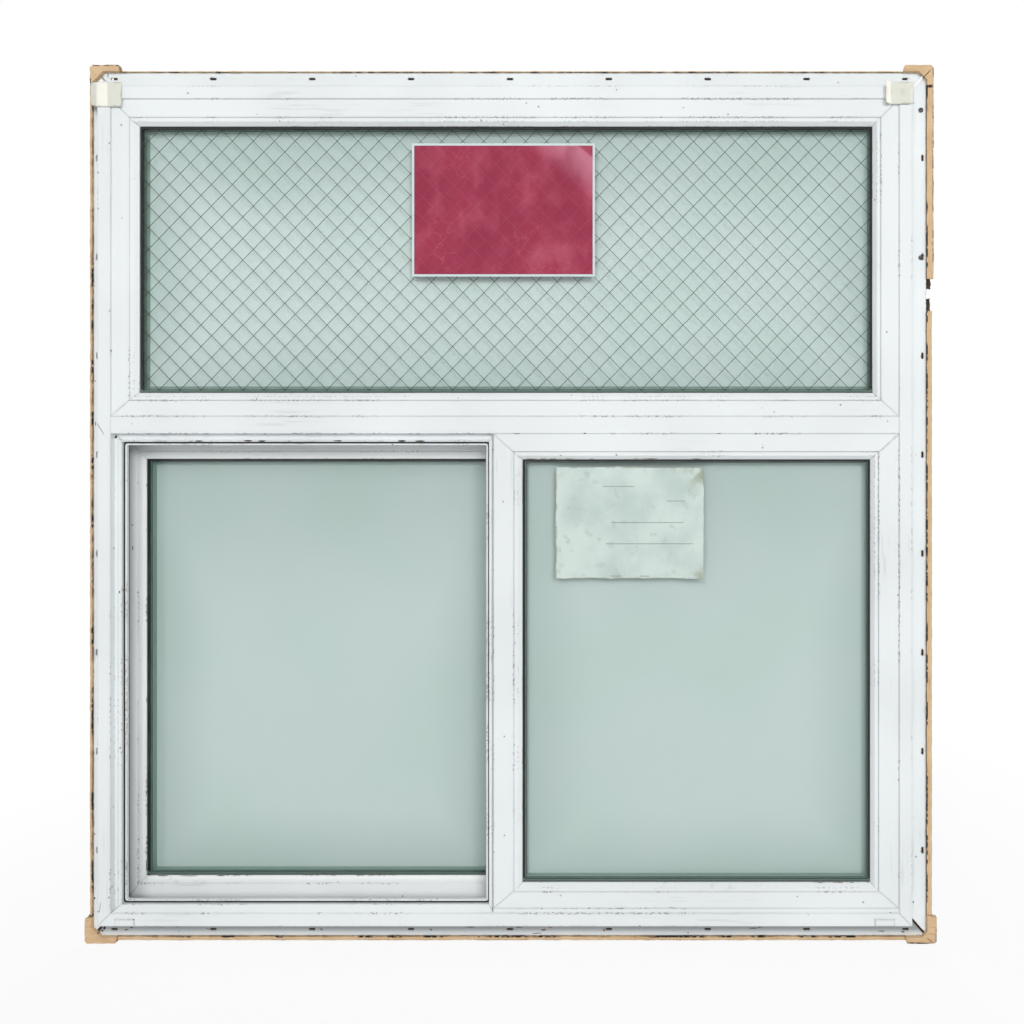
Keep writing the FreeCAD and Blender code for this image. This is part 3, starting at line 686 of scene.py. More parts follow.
# %% [markdown]
# ## The wire in the glass
# Safety glass has a welded steel mesh cast into it, here in diamonds about 31 mm wide. Drawn as a bump it
# would vanish from the side, so it is modelled: one six-sided wire is cut into short lengths, repeated by
# an Array modifier, made to wander a little by a Displace modifier, and trimmed to the pane by four
# bisects. A second set leans the other way.

# %% Wire mesh
DIAMOND_WIDTH = 31.3 * MM
DIAMOND_HEIGHT = 32.3 * MM
WIRE_RADIUS = 0.42 * MM
WIRE_CUTS = 24
WIRE_WANDER = 1.2 * MM
WIRE_WAVE = 0.16
WIRE_EDGE_GAP = 1.0 * MM
pane_low, pane_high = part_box("top_lite_outer_pane")


def only(item):
    """Select one object alone and make it the active one."""
    bpy.ops.object.select_all(action="DESELECT")
    item.select_set(True)
    bpy.context.view_layer.objects.active = item


def apply_all(item):
    """Apply every modifier of a piece, in order."""
    only(item)
    for modifier in list(item.modifiers):
        bpy.ops.object.modifier_apply(modifier=modifier.name)


def pick(item, kind, wanted):
    """In edit mode, select the vertices, edges or faces that a test wants."""
    only(item)
    bpy.ops.object.mode_set(mode="EDIT")
    bpy.ops.mesh.select_mode(type=kind)
    bpy.ops.mesh.select_all(action="DESELECT")
    bpy.ops.object.mode_set(mode="OBJECT")
    lists = {"VERT": item.data.vertices, "EDGE": item.data.edges, "FACE": item.data.polygons}
    for element in lists[kind]:
        element.select = wanted(element)
    bpy.ops.object.mode_set(mode="EDIT")


def wandering(name, size):
    """A soft noise that Displace modifiers read."""
    texture = bpy.data.textures.new(name, "CLOUDS")
    texture.noise_scale = size
    texture.noise_depth = 2
    return texture


def displaced(item, texture, strength, direction, middle=0.5):
    """Push a mesh in and out by a noise that is fixed in the window's own space."""
    modifier = item.modifiers.new("push", "DISPLACE")
    modifier.texture = texture
    modifier.texture_coords = "GLOBAL"
    modifier.strength = strength
    modifier.mid_level = middle
    modifier.direction = direction


def leaning_wires(lean, depth):
    """One set of parallel wires across the pane, all leaning one way."""
    height = pane_high.z - pane_low.z
    run = height * DIAMOND_WIDTH / DIAMOND_HEIGHT
    count = math.ceil((pane_high.x - pane_low.x + run) / DIAMOND_WIDTH) + 2
    length = math.hypot(height, run) + DIAMOND_WIDTH
    first_x = pane_low.x - run / 2 - DIAMOND_WIDTH / 2
    bpy.ops.object.select_all(action="DESELECT")
    bpy.ops.mesh.primitive_cylinder_add(
        vertices=6,
        radius=WIRE_RADIUS,
        depth=length,
        location=(first_x, depth, (pane_low.z + pane_high.z) / 2),
        rotation=(0, lean * math.atan2(DIAMOND_WIDTH, DIAMOND_HEIGHT), 0),
    )
    wires = bpy.context.object
    bpy.ops.object.transform_apply(location=True, rotation=True, scale=True)
    points = wires.data.vertices

    def runs_along(edge):
        """Whether an edge is as long as the wire."""
        start, end = [points[index].co for index in edge.vertices]
        return (start - end).length > length / 2

    pick(wires, "EDGE", runs_along)
    bpy.ops.mesh.subdivide(number_cuts=WIRE_CUTS)
    bpy.ops.object.mode_set(mode="OBJECT")
    row = wires.modifiers.new("row", "ARRAY")
    row.use_relative_offset = False
    row.use_constant_offset = True
    row.constant_offset_displace = (DIAMOND_WIDTH, 0, 0)
    row.count = count
    displaced(wires, wandering("wire_wander", WIRE_WAVE), WIRE_WANDER, "X")
    apply_all(wires)
    pick(wires, "FACE", lambda face: True)
    for corner, sides in ((pane_low, (-1, 1)), (pane_high, (1, -1))):
        for normal in (Vector((sides[0], 0, 0)), Vector((0, 0, sides[0]))):
            bpy.ops.mesh.select_all(action="SELECT")
            cut = corner - normal * WIRE_EDGE_GAP
            bpy.ops.mesh.bisect(plane_co=cut, plane_no=normal, use_fill=True, clear_outer=True)
    bpy.ops.object.mode_set(mode="OBJECT")
    return wires


wire_depth = (pane_low.y * 2 + pane_high.y) / 3
wire_mesh = leaning_wires(1, wire_depth - WIRE_RADIUS)
other_set = leaning_wires(-1, wire_depth + WIRE_RADIUS)
other_set.select_set(True)
wire_mesh.select_set(True)
bpy.context.view_layer.objects.active = wire_mesh
bpy.ops.object.join()
wire_mesh.name = "wire_mesh"
bpy.ops.object.shade_smooth_by_angle()
material, tree, shader, place = new_finish("drawn_steel_wire")
steel = blended(tree, cloud(tree, place, 60.0), screen_colour(40, 52, 48), screen_colour(66, 80, 74))
feed(shader.inputs["Base Color"], steel)
shader.inputs["Metallic"].default_value = 0.4
feed(shader.inputs["Roughness"], ramp(tree, cloud(tree, place, 200.0), 0.3, 0.7, 0.35, 0.6))
wire_mesh.data.materials.append(material)
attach(wire_mesh, "frame")
print("wire mesh of", len(wire_mesh.data.polygons), "faces")

# %% [markdown]
# ## The label's print and film
# A red vinyl label still sticks to the wired glass: creased, hazy where the sun has caught one corner, and
# with a thin border of clear film. Creases could be painted by hand. Here they are the edges of Voronoi
# cells, bent by a noise so that they don't look like tiles, and the wire behind prints through as lines.

# %% Label finishes
CREASE_BEND = 30.0 * MM
SUN_PIXEL = (577, 145)
SUN_TILT = Vector((0.636, 0.0, 0.771))
SUN_FAR = 55 * MM
SUN_NEAR = 6 * MM
SUN_RIM = (3 * MM, -2 * MM)
FILM_DULL = screen_colour(186, 204, 204)
FILM_PALE = screen_colour(208, 222, 222)
PRINT_DEEP = screen_colour(134, 28, 58)
PRINT_PALE = screen_colour(152, 42, 72)
PRINT_SUNNED = screen_colour(206, 138, 158)
PRINT_OVER_WIRE = screen_colour(186, 84, 108)
PRINT_CREASED = screen_colour(196, 104, 124)
PRINT_FOLDED = screen_colour(205, 118, 124)


def diamond_lines(tree, place, width):
    """Thin lines where the wire mesh lies behind."""
    parts = add_node(tree, "SeparateXYZ", Vector=place)
    across = sum_of(tree, "DIVIDE", parts.outputs[0], DIAMOND_WIDTH)
    upward = sum_of(tree, "DIVIDE", parts.outputs[2], DIAMOND_HEIGHT)
    found = []
    for operation in ("ADD", "SUBTRACT"):
        turn = sum_of(tree, "PINGPONG", sum_of(tree, operation, across, upward), 0.5)
        found.append(ramp(tree, turn, width, 0.0))
    return sum_of(tree, "MAXIMUM", found[0], found[1])


clear_film, tree, shader, place = new_finish("clear_film")
haze = cloud(tree, place, 40.0, 3.0)
feed(shader.inputs["Base Color"], blended(tree, haze, FILM_DULL, FILM_PALE))
feed(shader.inputs["Roughness"], ramp(tree, haze, 0.3, 0.7, 0.2, 0.4))

red_print, tree, shader, place = new_finish("red_print")
ink = cloud(tree, place, 9.0, 4.0)
crease = cloud(tree, place, 26.0, 3.0, (1.0, 1.0, 0.7))
colour = blended(tree, ramp(tree, ink, 0.3, 0.75), PRINT_DEEP, PRINT_PALE)
tilt = add_node(tree, "VectorMath", {"operation": "DOT_PRODUCT"})
feed(tilt.inputs[0], place)
feed(tilt.inputs[1], SUN_TILT)
sunward = tilt.outputs["Value"]
sun_edge = photo_point(*SUN_PIXEL, pane_low.y).dot(SUN_TILT)
sun = ramp(tree, sunward, sun_edge - SUN_FAR, sun_edge - SUN_NEAR, 0.0, 0.62)
sun = times(tree, sun, ramp(tree, sunward, sun_edge + SUN_RIM[0], sun_edge + SUN_RIM[1]))
sun = times(tree, sun, ramp(tree, crease, 0.3, 0.65, 0.35, 1.0))
colour = blended(tree, sun, colour, PRINT_SUNNED)
wires = diamond_lines(tree, place, 0.045)
colour = blended(tree, times(tree, wires, 0.22), colour, PRINT_OVER_WIRE)
colour = blended(tree, ramp(tree, crease, 0.45, 0.8, 0.0, 0.4), colour, PRINT_CREASED)
drift = add_node(tree, "TexNoise", Vector=place, Scale=45.0).outputs["Color"]
bent = add_node(tree, "VectorMath", {"operation": "MULTIPLY_ADD"})
feed(bent.inputs[0], drift)
feed(bent.inputs[1], (CREASE_BEND, CREASE_BEND, CREASE_BEND))
feed(bent.inputs[2], place)
cells = add_node(tree, "TexVoronoi", {"feature": "DISTANCE_TO_EDGE"}, Vector=bent.outputs[0], Scale=34.0)
fold = ramp(tree, cells.outputs["Distance"], 0.022, 0.006)
fold = times(tree, fold, ramp(tree, ink, 0.42, 0.6, 0.0, 0.2))
feed(shader.inputs["Base Color"], blended(tree, fold, colour, PRINT_FOLDED))
feed(shader.inputs["Roughness"], ramp(tree, crease, 0.3, 0.7, 0.3, 0.5))
feed(shader.inputs["Normal"], relief(tree, sum_of(tree, "ADD", fold, wires), 0.35, 0.5 * MM))
print("finishes", clear_film.name, "and", red_print.name)

# %% [markdown]
# ## The red label
# However thin the label is, a flat card would look painted on. So the sheet is inset for its border, cut
# into small squares, pushed outwards by a noise that never goes below the glass, and thickened with
# a Solidify modifier.

# %% Red label
FILM_GAP = 0.05 * MM
LABEL_PIXELS = ((412.0, 143.4), (595.0, 276.6))
LABEL_BORDER = 3.4 * MM
LABEL_CUTS = 30
LABEL_LUMPS = 0.5 * MM
LABEL_WAVE = 0.02
SHEET_THICKNESS = 0.15 * MM


def flat_sheet(name, left_top, right_bottom):
    """A flat sheet that faces outdoors, between two corners at one depth."""
    middle = (left_top + right_bottom) / 2
    bpy.ops.object.select_all(action="DESELECT")
    bpy.ops.mesh.primitive_plane_add(size=1, location=middle, rotation=(math.pi / 2, 0, 0))
    sheet = bpy.context.object
    sheet.name = name
    sheet.scale = (right_bottom.x - left_top.x, left_top.z - right_bottom.z, 1)
    bpy.ops.object.transform_apply(location=True, rotation=True, scale=True)
    return sheet


def photo_sheet(name, pixels, depth):
    """A flat sheet between two pixels of the photograph, left top and right bottom."""
    return flat_sheet(name, *[photo_point(*pixel, depth) for pixel in pixels])


def thickened(item, thickness):
    """Give a sheet its thickness on the outdoor side."""
    modifier = item.modifiers.new("thickness", "SOLIDIFY")
    modifier.thickness = thickness
    modifier.offset = 1


label = photo_sheet("glass_label", LABEL_PIXELS, pane_low.y - FILM_GAP)
label.data.materials.append(clear_film)
label.data.materials.append(red_print)
pick(label, "FACE", lambda face: True)
bpy.ops.mesh.inset(thickness=LABEL_BORDER)
label.active_material_index = 1
bpy.ops.object.material_slot_assign()
bpy.ops.mesh.select_all(action="SELECT")
bpy.ops.mesh.subdivide(number_cuts=LABEL_CUTS)
bpy.ops.object.mode_set(mode="OBJECT")
displaced(label, wandering("label_creases", LABEL_WAVE), LABEL_LUMPS, "NORMAL", 0.0)
thickened(label, SHEET_THICKNESS)
apply_all(label)
bpy.ops.object.shade_smooth_by_angle()
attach(label, "frame")
print("label of", len(label.data.polygons), "faces")

# %% [markdown]
# ## The paper tag
# A paper tag is stuck on the right lite, wavy at the bottom and lifting at three corners. Cloth physics
# could curl it, but it takes time to settle. A grid of squares takes ragged edges from a random move of its
# border points, its loose corners are pulled out with proportional editing, and noise makes the waves.

# %% Paper tag
TAG_PIXELS = ((556.4, 467.5), (703.9, 578.2))
TAG_CUTS = 40
TAG_RAGGED = 0.5 * MM
TAG_WAVES = 4.0 * MM
TAG_CREASES = 1.4 * MM
TAG_CURL = 5.0 * MM
RIM_REACH = 0.1 * MM
tag_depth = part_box("fixed_lite_outer_pane")[0].y - FILM_GAP


def cut_finely(item, cuts):
    """Cut every face of a piece into a net of small ones."""
    pick(item, "FACE", lambda face: True)
    bpy.ops.mesh.subdivide(number_cuts=cuts)
    bpy.ops.object.mode_set(mode="OBJECT")


def on_rim(vertex):
    """Whether a point lies on the tag's outline."""
    beside = min(vertex.co.x - tag_low.x, tag_high.x - vertex.co.x)
    above = min(vertex.co.z - tag_low.z, tag_high.z - vertex.co.z)
    return min(beside, above) < RIM_REACH


tag = photo_sheet("paper_tag", TAG_PIXELS, tag_depth)
tag_low = Vector([min(point.co[axis] for point in tag.data.vertices) for axis in range(3)])
tag_high = Vector([max(point.co[axis] for point in tag.data.vertices) for axis in range(3)])
cut_finely(tag, TAG_CUTS)
pick(tag, "VERT", on_rim)
bpy.ops.transform.vertex_random(offset=TAG_RAGGED, seed=4)
bpy.ops.transform.resize(value=(1, 0, 1), center_override=(0, tag_depth, 0))
bpy.ops.object.mode_set(mode="OBJECT")
for corner, pull, reach in (
    (Vector((tag_high.x, tag_low.y, tag_low.z)), TAG_CURL, 0.035),
    (Vector((tag_low.x, tag_low.y, tag_low.z)), TAG_CURL * 0.5, 0.03),
    (Vector((tag_high.x, tag_low.y, tag_high.z)), TAG_CURL * 0.6, 0.03),
):
    pick(tag, "VERT", lambda vertex: (vertex.co - corner).length < 2 * MM)
    bpy.ops.transform.translate(
        value=(0, -pull, 0),
        use_proportional_edit=True,
        proportional_edit_falloff="SMOOTH",
        proportional_size=reach,
    )
    bpy.ops.object.mode_set(mode="OBJECT")
displaced(tag, wandering("tag_outline_across", 0.03), TAG_WAVES, "X")
displaced(tag, wandering("tag_outline_up", 0.035), TAG_WAVES, "Z")
displaced(tag, wandering("tag_creases", 0.024), TAG_CREASES, "NORMAL", 0.0)
thickened(tag, SHEET_THICKNESS)
apply_all(tag)
bpy.ops.object.shade_smooth_by_angle()
print("tag of", len(tag.data.polygons), "faces")

# %% [markdown]
# ## Damp paper
# The tag has been wet: grey-green paper with cockles darkened by painted shade, brown stains in three
# corners and a dirty rim. A few thin lines are ruled on it. A scan could give all this, but distances from
# named pixels do too: a stain fades away from its corner, and a line is what lies close to one height
# between two ends.

# %% Damp paper
TAG_STAINS = (((703, 468), 0.045), ((557, 468), 0.02), ((700, 577), 0.018))
RULED_LINES = (
    ((603.6, 634.0), 486.4),
    ((667.0, 685.0), 501.0),
    ((611.7, 683.3), 522.5),
    ((606.3, 692.5), 543.7),
    ((611.0, 621.0), 576.0),
    ((640.0, 649.0), 576.0),
)
PAPER_PALE = screen_colour(204, 217, 211)
PAPER_DAMP = screen_colour(184, 199, 193)
PAPER_CRUMPLE_SHADE = screen_colour(160, 176, 166)
PAPER_STAIN = screen_colour(120, 124, 92)
PAPER_RIM = screen_colour(132, 124, 100)
PAPER_LINE = screen_colour(92, 104, 98)


def distance_to(tree, place, spot):
    """How far a point lies from one spot."""
    away = add_node(tree, "VectorMath", {"operation": "DISTANCE"})
    feed(away.inputs[0], place)
    feed(away.inputs[1], spot)
    return away.outputs["Value"]


material, tree, shader, place = new_finish("damp_paper")
fibre = cloud(tree, place, 420.0, 3.0)
damp = cloud(tree, place, 16.0, 5.0)
crumple = cloud(tree, place, 70.0, 5.0)
colour = blended(tree, ramp(tree, damp, 0.35, 0.7), PAPER_PALE, PAPER_DAMP)
# Painted shade in the hollows of the cockles.
colour = blended(tree, ramp(tree, crumple, 0.58, 0.72, 0.0, 0.4), colour, PAPER_CRUMPLE_SHADE)
for pixel, reach in TAG_STAINS:
    stain = ramp(tree, distance_to(tree, place, photo_point(*pixel, tag_depth)), reach, 0.0)
    stain = times(tree, stain, ramp(tree, crumple, 0.35, 0.6))
    colour = blended(tree, times(tree, stain, 0.7), colour, PAPER_STAIN)
rim = ramp(tree, outside_of(tree, place, tag_low, tag_high), -2.2 * MM, 0.2 * MM, 0.0, 0.6)
colour = blended(tree, times(tree, rim, ramp(tree, crumple, 0.4, 0.6)), colour, PAPER_RIM)
parts = add_node(tree, "SeparateXYZ", Vector=place)
for span, row in RULED_LINES:
    first = photo_point(span[0], row, tag_depth)
    last = photo_point(span[1], row, tag_depth)
    offset = sum_of(tree, "ABSOLUTE", sum_of(tree, "SUBTRACT", parts.outputs[2], first.z))
    line = ramp(tree, offset, 0.7 * MM, 0.3 * MM)
    line = times(tree, line, ramp(tree, parts.outputs[0], first.x - MM, first.x))
    line = times(tree, line, ramp(tree, parts.outputs[0], last.x + MM, last.x))
    colour = blended(tree, times(tree, line, 0.7), colour, PAPER_LINE)
feed(shader.inputs["Base Color"], colour)
shader.inputs["Roughness"].default_value = 0.85
feed(shader.inputs["Normal"], relief(tree, sum_of(tree, "ADD", fibre, crumple), 0.4, 0.5 * MM))
tag.data.materials.append(material)
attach(tag, "frame")
print("tag with", len(RULED_LINES), "ruled lines")

# %% [markdown]
# ## Seals and bead round the vent
# Thin lines run round the vent, from the outside in: the black spline in the screen track, just inside the
# white lip, the white bead that holds it, and the black pile seal between the track and the sash. The
# spline
# and the seal are painted shade: black strips where the track floor and the gap to the sash lie in shade.
# All are thin trim, so they are made here. A flat sheet as large as the opening gets its corners rounded by
# a vertex bevel. An inset then leaves a narrow rim, the middle is deleted, and a Solidify modifier gives
# the rim its depth.

# %% Seals and bead round the vent
LITE_FRONT = front_y + 1.5 * MM
SEAL_ROUND = 4.0 * MM
SPLINE_WIDTH = 2.3 * MM
BEAD_WIDTH = 2.6 * MM
BEAD_DEPTH = 5 * MM
PILE_WIDTH = 1.7 * MM
SEAL_DEPTH = 1.2 * MM
TRACK_FRONT = LITE_FRONT + 4 * MM
TRACK_LIPS = {"left": 16.1 * MM, "right": 6.4 * MM, "bottom": 13.0 * MM, "top": 12.0 * MM}
SEAL_SEATS = {"left": 5.0 * MM, "right": 16.0 * MM, "bottom": 2.5 * MM, "top": 15.3 * MM}
vent_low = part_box("vent_jamb_track")[0]
vent_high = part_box("vent_stile_track")[1]
seal_shade_rubber = rubber("seal_shade_rubber", screen_colour(20, 22, 24))


def vent_ring(name, margins, front, width, thickness, material):
    """A narrow rim that lines the vent, its front at a depth."""
    back = front + thickness
    left_top = Vector((vent_low.x + margins["left"], back, vent_high.z - margins["top"]))
    right_bottom = Vector((vent_high.x - margins["right"], back, vent_low.z + margins["bottom"]))
    ring = flat_sheet(name, left_top, right_bottom)
    pick(ring, "VERT", lambda vertex: True)
    bpy.ops.mesh.bevel(offset=SEAL_ROUND, segments=6, affect="VERTICES")
    bpy.ops.object.mode_set(mode="OBJECT")
    pick(ring, "FACE", lambda face: True)
    bpy.ops.mesh.inset(thickness=width)
    bpy.ops.mesh.delete(type="FACE")
    bpy.ops.mesh.select_all(action="SELECT")
    bpy.ops.mesh.subdivide(number_cuts=5)
    bpy.ops.object.mode_set(mode="OBJECT")
    thickened(ring, thickness)
    rim = ring.modifiers.new("rim", "BEVEL")
    rim.width = width / 6
    rim.segments = 2
    rim.angle_limit = math.radians(60)
    apply_all(ring)
    bpy.ops.object.shade_smooth_by_angle()
    ring.data.materials.append(material)
    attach(ring, "frame")


bead_margins = {side: margin + SPLINE_WIDTH for side, margin in TRACK_LIPS.items()}
bead_vinyl = finishes["frame_beads"]
# Painted shade: the black spline and pile seal darken the track floor and the gap to the sash.
vent_ring("screen_spline_shade", TRACK_LIPS, TRACK_FRONT, SPLINE_WIDTH, SEAL_DEPTH, seal_shade_rubber)
vent_ring("screen_bead", bead_margins, TRACK_FRONT, BEAD_WIDTH, BEAD_DEPTH, bead_vinyl)
vent_ring("pile_seal_shade", SEAL_SEATS, vent_high.y, PILE_WIDTH, SEAL_DEPTH, seal_shade_rubber)
print("three rings round the vent")

# %% [markdown]
# ## Foam tape on the top corners
# Two scraps of cream foam tape keep the top corners of stacked windows apart. Each is a strip that was
# pressed on the face and folded over an edge, so it is made as it was stuck: a flat piece first, then its
# side edge extruded once for every fold. Noise makes it lumpy, and it gets its thickness last.

# %% Foam tape
TAPE_THICKNESS = 1.2 * MM
TAPE_LUMPS = 1.4 * MM
FOAM_PALE = screen_colour(240, 239, 228)
FOAM_GREY = screen_colour(216, 217, 206)
FOAM_STAIN = screen_colour(186, 180, 160)
FOAM_RIM_SHADE = screen_colour(104, 98, 86)
FOAM_PIN = screen_colour(70, 66, 60)
LEFT_TAPE = ((97.6, 82.5), (122.3, 106.8))
LEFT_FOLD = (97.6, 94.6)
LEFT_END = (92.2, 94.0)
LEFT_PALE = (108, 94)
LEFT_PINS = ((94.3, 89.7), (94.5, 97.0), (94.3, 102.7))
RIGHT_TAPE = ((890.5, 82.0), (908.6, 104.4))
RIGHT_FOLDS = ((890.5, 93.2), (908.6, 93.2))
RIGHT_LIFT = (885.3, 91.0)
RIGHT_WRAP = (913.4, 93.0)
RIGHT_PALE = (890.5, 93)
tape_depth = front_y - 2 * FILM_GAP
fin_front = -2.0 * MM


def fold_out(strip, here, there):
    """Extrude the sheet's upright edge at one point to the next point."""
    near = 0.05 * MM
    points = strip.data.vertices

    def stands_here(edge):
        """Whether both ends of an edge lie above or below the point."""
        return all((points[end].co - here).to_2d().length < near for end in edge.vertices)

    pick(strip, "EDGE", stands_here)
    bpy.ops.mesh.extrude_region_move(TRANSFORM_OT_translate={"value": there - here})
    bpy.ops.object.mode_set(mode="OBJECT")


def foam(name, pale_edge, dots):
    """Cream foam, whiter on one side of an upright line, with dark pin marks and painted shade along its
    rims.
    """
    material, tree, shader, place = new_finish(name)
    cells = cloud(tree, place, 500.0, 3.0)
    soil = cloud(tree, place, 50.0, 4.0)
    side = add_node(tree, "SeparateXYZ", Vector=place).outputs[0]
    colour = blended(tree, ramp(tree, side, pale_edge, pale_edge + MM), FOAM_PALE, FOAM_GREY)
    colour = blended(tree, ramp(tree, soil, 0.58, 0.8, 0.0, 0.3), colour, FOAM_STAIN)
    # Painted shade: the rims darken where the tape's edge turns under, broken up by noise.
    rim = ramp(tree, edge_match(tree, 3.0 * MM), 0.96, 0.78, 0.0, 0.6)
    colour = blended(tree, times(tree, rim, ramp(tree, soil, 0.4, 0.55)), colour, FOAM_RIM_SHADE)
    for dot in dots:
        mark = ramp(tree, distance_to(tree, place, dot), 2.2 * MM, 1.2 * MM)
        colour = blended(tree, mark, colour, FOAM_PIN)
    feed(shader.inputs["Base Color"], colour)
    feed(shader.inputs["Roughness"], ramp(tree, soil, 0.3, 0.7, 0.6, 0.8))
    feed(shader.inputs["Normal"], relief(tree, sum_of(tree, "ADD", cells, soil), 0.5, 0.4 * MM))
    return material


def finish_tape(tape, material):
    """Cut the folded sheet finely, make it lumpy and thick, and soften its rims."""
    cut_finely(tape, 11)
    displaced(tape, wandering(tape.name + "_lumps", 0.012), TAPE_LUMPS, "NORMAL", 0.0)
    thickened(tape, TAPE_THICKNESS)
    rim = tape.modifiers.new("rim", "BEVEL")
    rim.width = TAPE_THICKNESS / 4
    rim.angle_limit = math.radians(60)
    apply_all(tape)
    bpy.ops.object.shade_smooth_by_angle(angle=math.radians(50))
    tape.data.materials.append(material)
    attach(tape, "frame")


left_tape = photo_sheet("foam_tape_left", LEFT_TAPE, tape_depth)
left_back = fin_front - TAPE_THICKNESS
fold_out(left_tape, photo_point(*LEFT_FOLD, tape_depth), photo_point(*LEFT_END, left_back))
pins = [photo_point(*pixel, left_back) for pixel in LEFT_PINS]
finish_tape(left_tape, foam("foam_left", photo_point(*LEFT_PALE, tape_depth).x, pins))

right_tape = photo_sheet("foam_tape_right", RIGHT_TAPE, tape_depth)
left_fold, right_fold = [photo_point(*pixel, tape_depth) for pixel in RIGHT_FOLDS]
fold_out(right_tape, left_fold, photo_point(*RIGHT_LIFT, tape_depth - 5 * MM))
fold_out(right_tape, right_fold, photo_point(*RIGHT_WRAP, tape_depth + 4 * MM))
finish_tape(right_tape, foam("foam_right", photo_point(*RIGHT_PALE, tape_depth).x, []))
print("two scraps of foam tape")

# %% [markdown]
# ## Two screws in the right fin
# Two grey pan-head screws with rusty spots sit in the right fin. They could be cut with a thread, but only
# their heads show. A cylinder is the start: its face is inset and pulled out to a low dome, inset again and
# pushed in for the drive, and a Bevel modifier rounds the rims.

# %% Fin screws
SCREW_RADIUS = 3.7 * MM
SCREW_HEIGHT = 1.4 * MM
DOME_HEIGHT = 0.9 * MM
DRIVE_DEPTH = 1.3 * MM
SCREW_PIXELS = {"fin_screw_upper": (920.9, 110.1), "fin_screw_lower": (921.0, 257.5)}
SCREW_ZINC = screen_colour(128, 132, 134)
SCREW_RUST = screen_colour(78, 66, 58)


def pull_front(item, thickness, move):
    """Inset the outdoor faces and move the inner one along Y."""
    front = min(point.co.y for point in item.data.vertices)
    pick(item, "FACE", lambda face: face.normal.y < -0.9 and face.center.y < front + 0.05 * MM)
    bpy.ops.mesh.inset(thickness=thickness)
    bpy.ops.transform.translate(value=(0, move, 0))
    bpy.ops.object.mode_set(mode="OBJECT")


material, tree, shader, place = new_finish("rusty_screw")
rust = ramp(tree, cloud(tree, place, 320.0, 4.0), 0.45, 0.62)
feed(shader.inputs["Base Color"], blended(tree, rust, SCREW_ZINC, SCREW_RUST))
feed(shader.inputs["Metallic"], ramp(tree, rust, 0.0, 1.0, 0.8, 0.1))
feed(shader.inputs["Roughness"], ramp(tree, rust, 0.0, 1.0, 0.4, 0.8))
for name, pixel in SCREW_PIXELS.items():
    bpy.ops.object.select_all(action="DESELECT")
    bpy.ops.mesh.primitive_cylinder_add(
        vertices=32,
        radius=SCREW_RADIUS,
        depth=SCREW_HEIGHT,
        location=photo_point(*pixel, fin_front - SCREW_HEIGHT / 2),
        rotation=(math.pi / 2, 0, 0),
    )
    screw = bpy.context.object
    screw.name = name
    bpy.ops.object.transform_apply(location=True, rotation=True, scale=True)
    pull_front(screw, SCREW_RADIUS * 0.3, -DOME_HEIGHT)
    pull_front(screw, SCREW_RADIUS * 0.25, 0.0)
    pull_front(screw, SCREW_RADIUS * 0.05, DRIVE_DEPTH)
    rim = screw.modifiers.new("rim", "BEVEL")
    rim.width = 0.2 * MM
    rim.segments = 2
    apply_all(screw)
    bpy.ops.object.shade_smooth_by_angle()
    screw.data.materials.append(material)
    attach(screw, "frame")
print("two fin screws")

# %% [markdown]
# ## Card flaps behind the fin
# The edging is folded card: its front shows as a strip round the fin, and its back leg runs in behind the
# fin, where it darkens the nail slots. The back leg's card is painted deep brown as painted shade, so that
# the slots read near black. A thin block is enough: one long edge is moved away from the fin, so the flap
# springs open as folded card does, and noise makes it wavy. On the right a piece of the strip is torn out,
# and two stubs of the back leg are left, painted black as shade: small sheets, cut up and made ragged.

# %% Card flaps
FLAP_THICKNESS = 1.0 * MM
FLAP_REACH = 27.0 * MM
FLAP_SPRING = 7.0 * MM
FLAP_CUTS = 40
FLAP_WAVES = 1.6 * MM
STUB_RAGGED = 1.9 * MM
STUB_CUTS = 6
UPPER_STUB = ((920.5, 275.0), (930.6, 289.0))
LOWER_STUB = ((920.5, 299.0), (929.8, 314.0))
fin_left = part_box("frame_jamb_left")[0].x
fin_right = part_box("frame_jamb_right")[1].x
fin_top = head_high.z
fin_low = sill_low.z
# The back legs lie in shade behind the fin, so their card is painted dark brown, and the stubs near black:
# painted shade.
FLAP_SHADE_PALE = screen_colour(92, 70, 52)
FLAP_SHADE_DEEP = screen_colour(66, 50, 38)
shaded_inner_card = cardboard("cardboard_inner_shade", EVEN, FLAP_SHADE_PALE, FLAP_SHADE_DEEP, *cad_box)
shaded_black_card = cardboard("cardboard_black_shade", EVEN, FLAP_SHADE_DEEP, CARD_GRIME, *cad_box)


def card_flap(name, low, high, is_inner):
    """A block of card behind the fin, with its inner edge sprung away."""
    bpy.ops.object.select_all(action="DESELECT")
    middle = ((low[0] + high[0]) / 2, FLAP_THICKNESS * 0.6, (low[1] + high[1]) / 2)
    bpy.ops.mesh.primitive_cube_add(size=1, location=middle)
    flap = bpy.context.object
    flap.name = name
    flap.scale = (high[0] - low[0], FLAP_THICKNESS, high[1] - low[1])
    bpy.ops.object.transform_apply(location=True, rotation=True, scale=True)
    pick(flap, "VERT", lambda vertex: is_inner(vertex.co))
    bpy.ops.transform.translate(value=(0, FLAP_SPRING, 0))
    bpy.ops.object.mode_set(mode="OBJECT")
    cut_finely(flap, FLAP_CUTS)
    displaced(flap, wandering(name + "_waves", 0.09), FLAP_WAVES, "Y", 0.0)
    apply_all(flap)
    bpy.ops.object.shade_smooth_by_angle()
    flap.data.materials.append(shaded_inner_card)
    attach(flap, "frame")


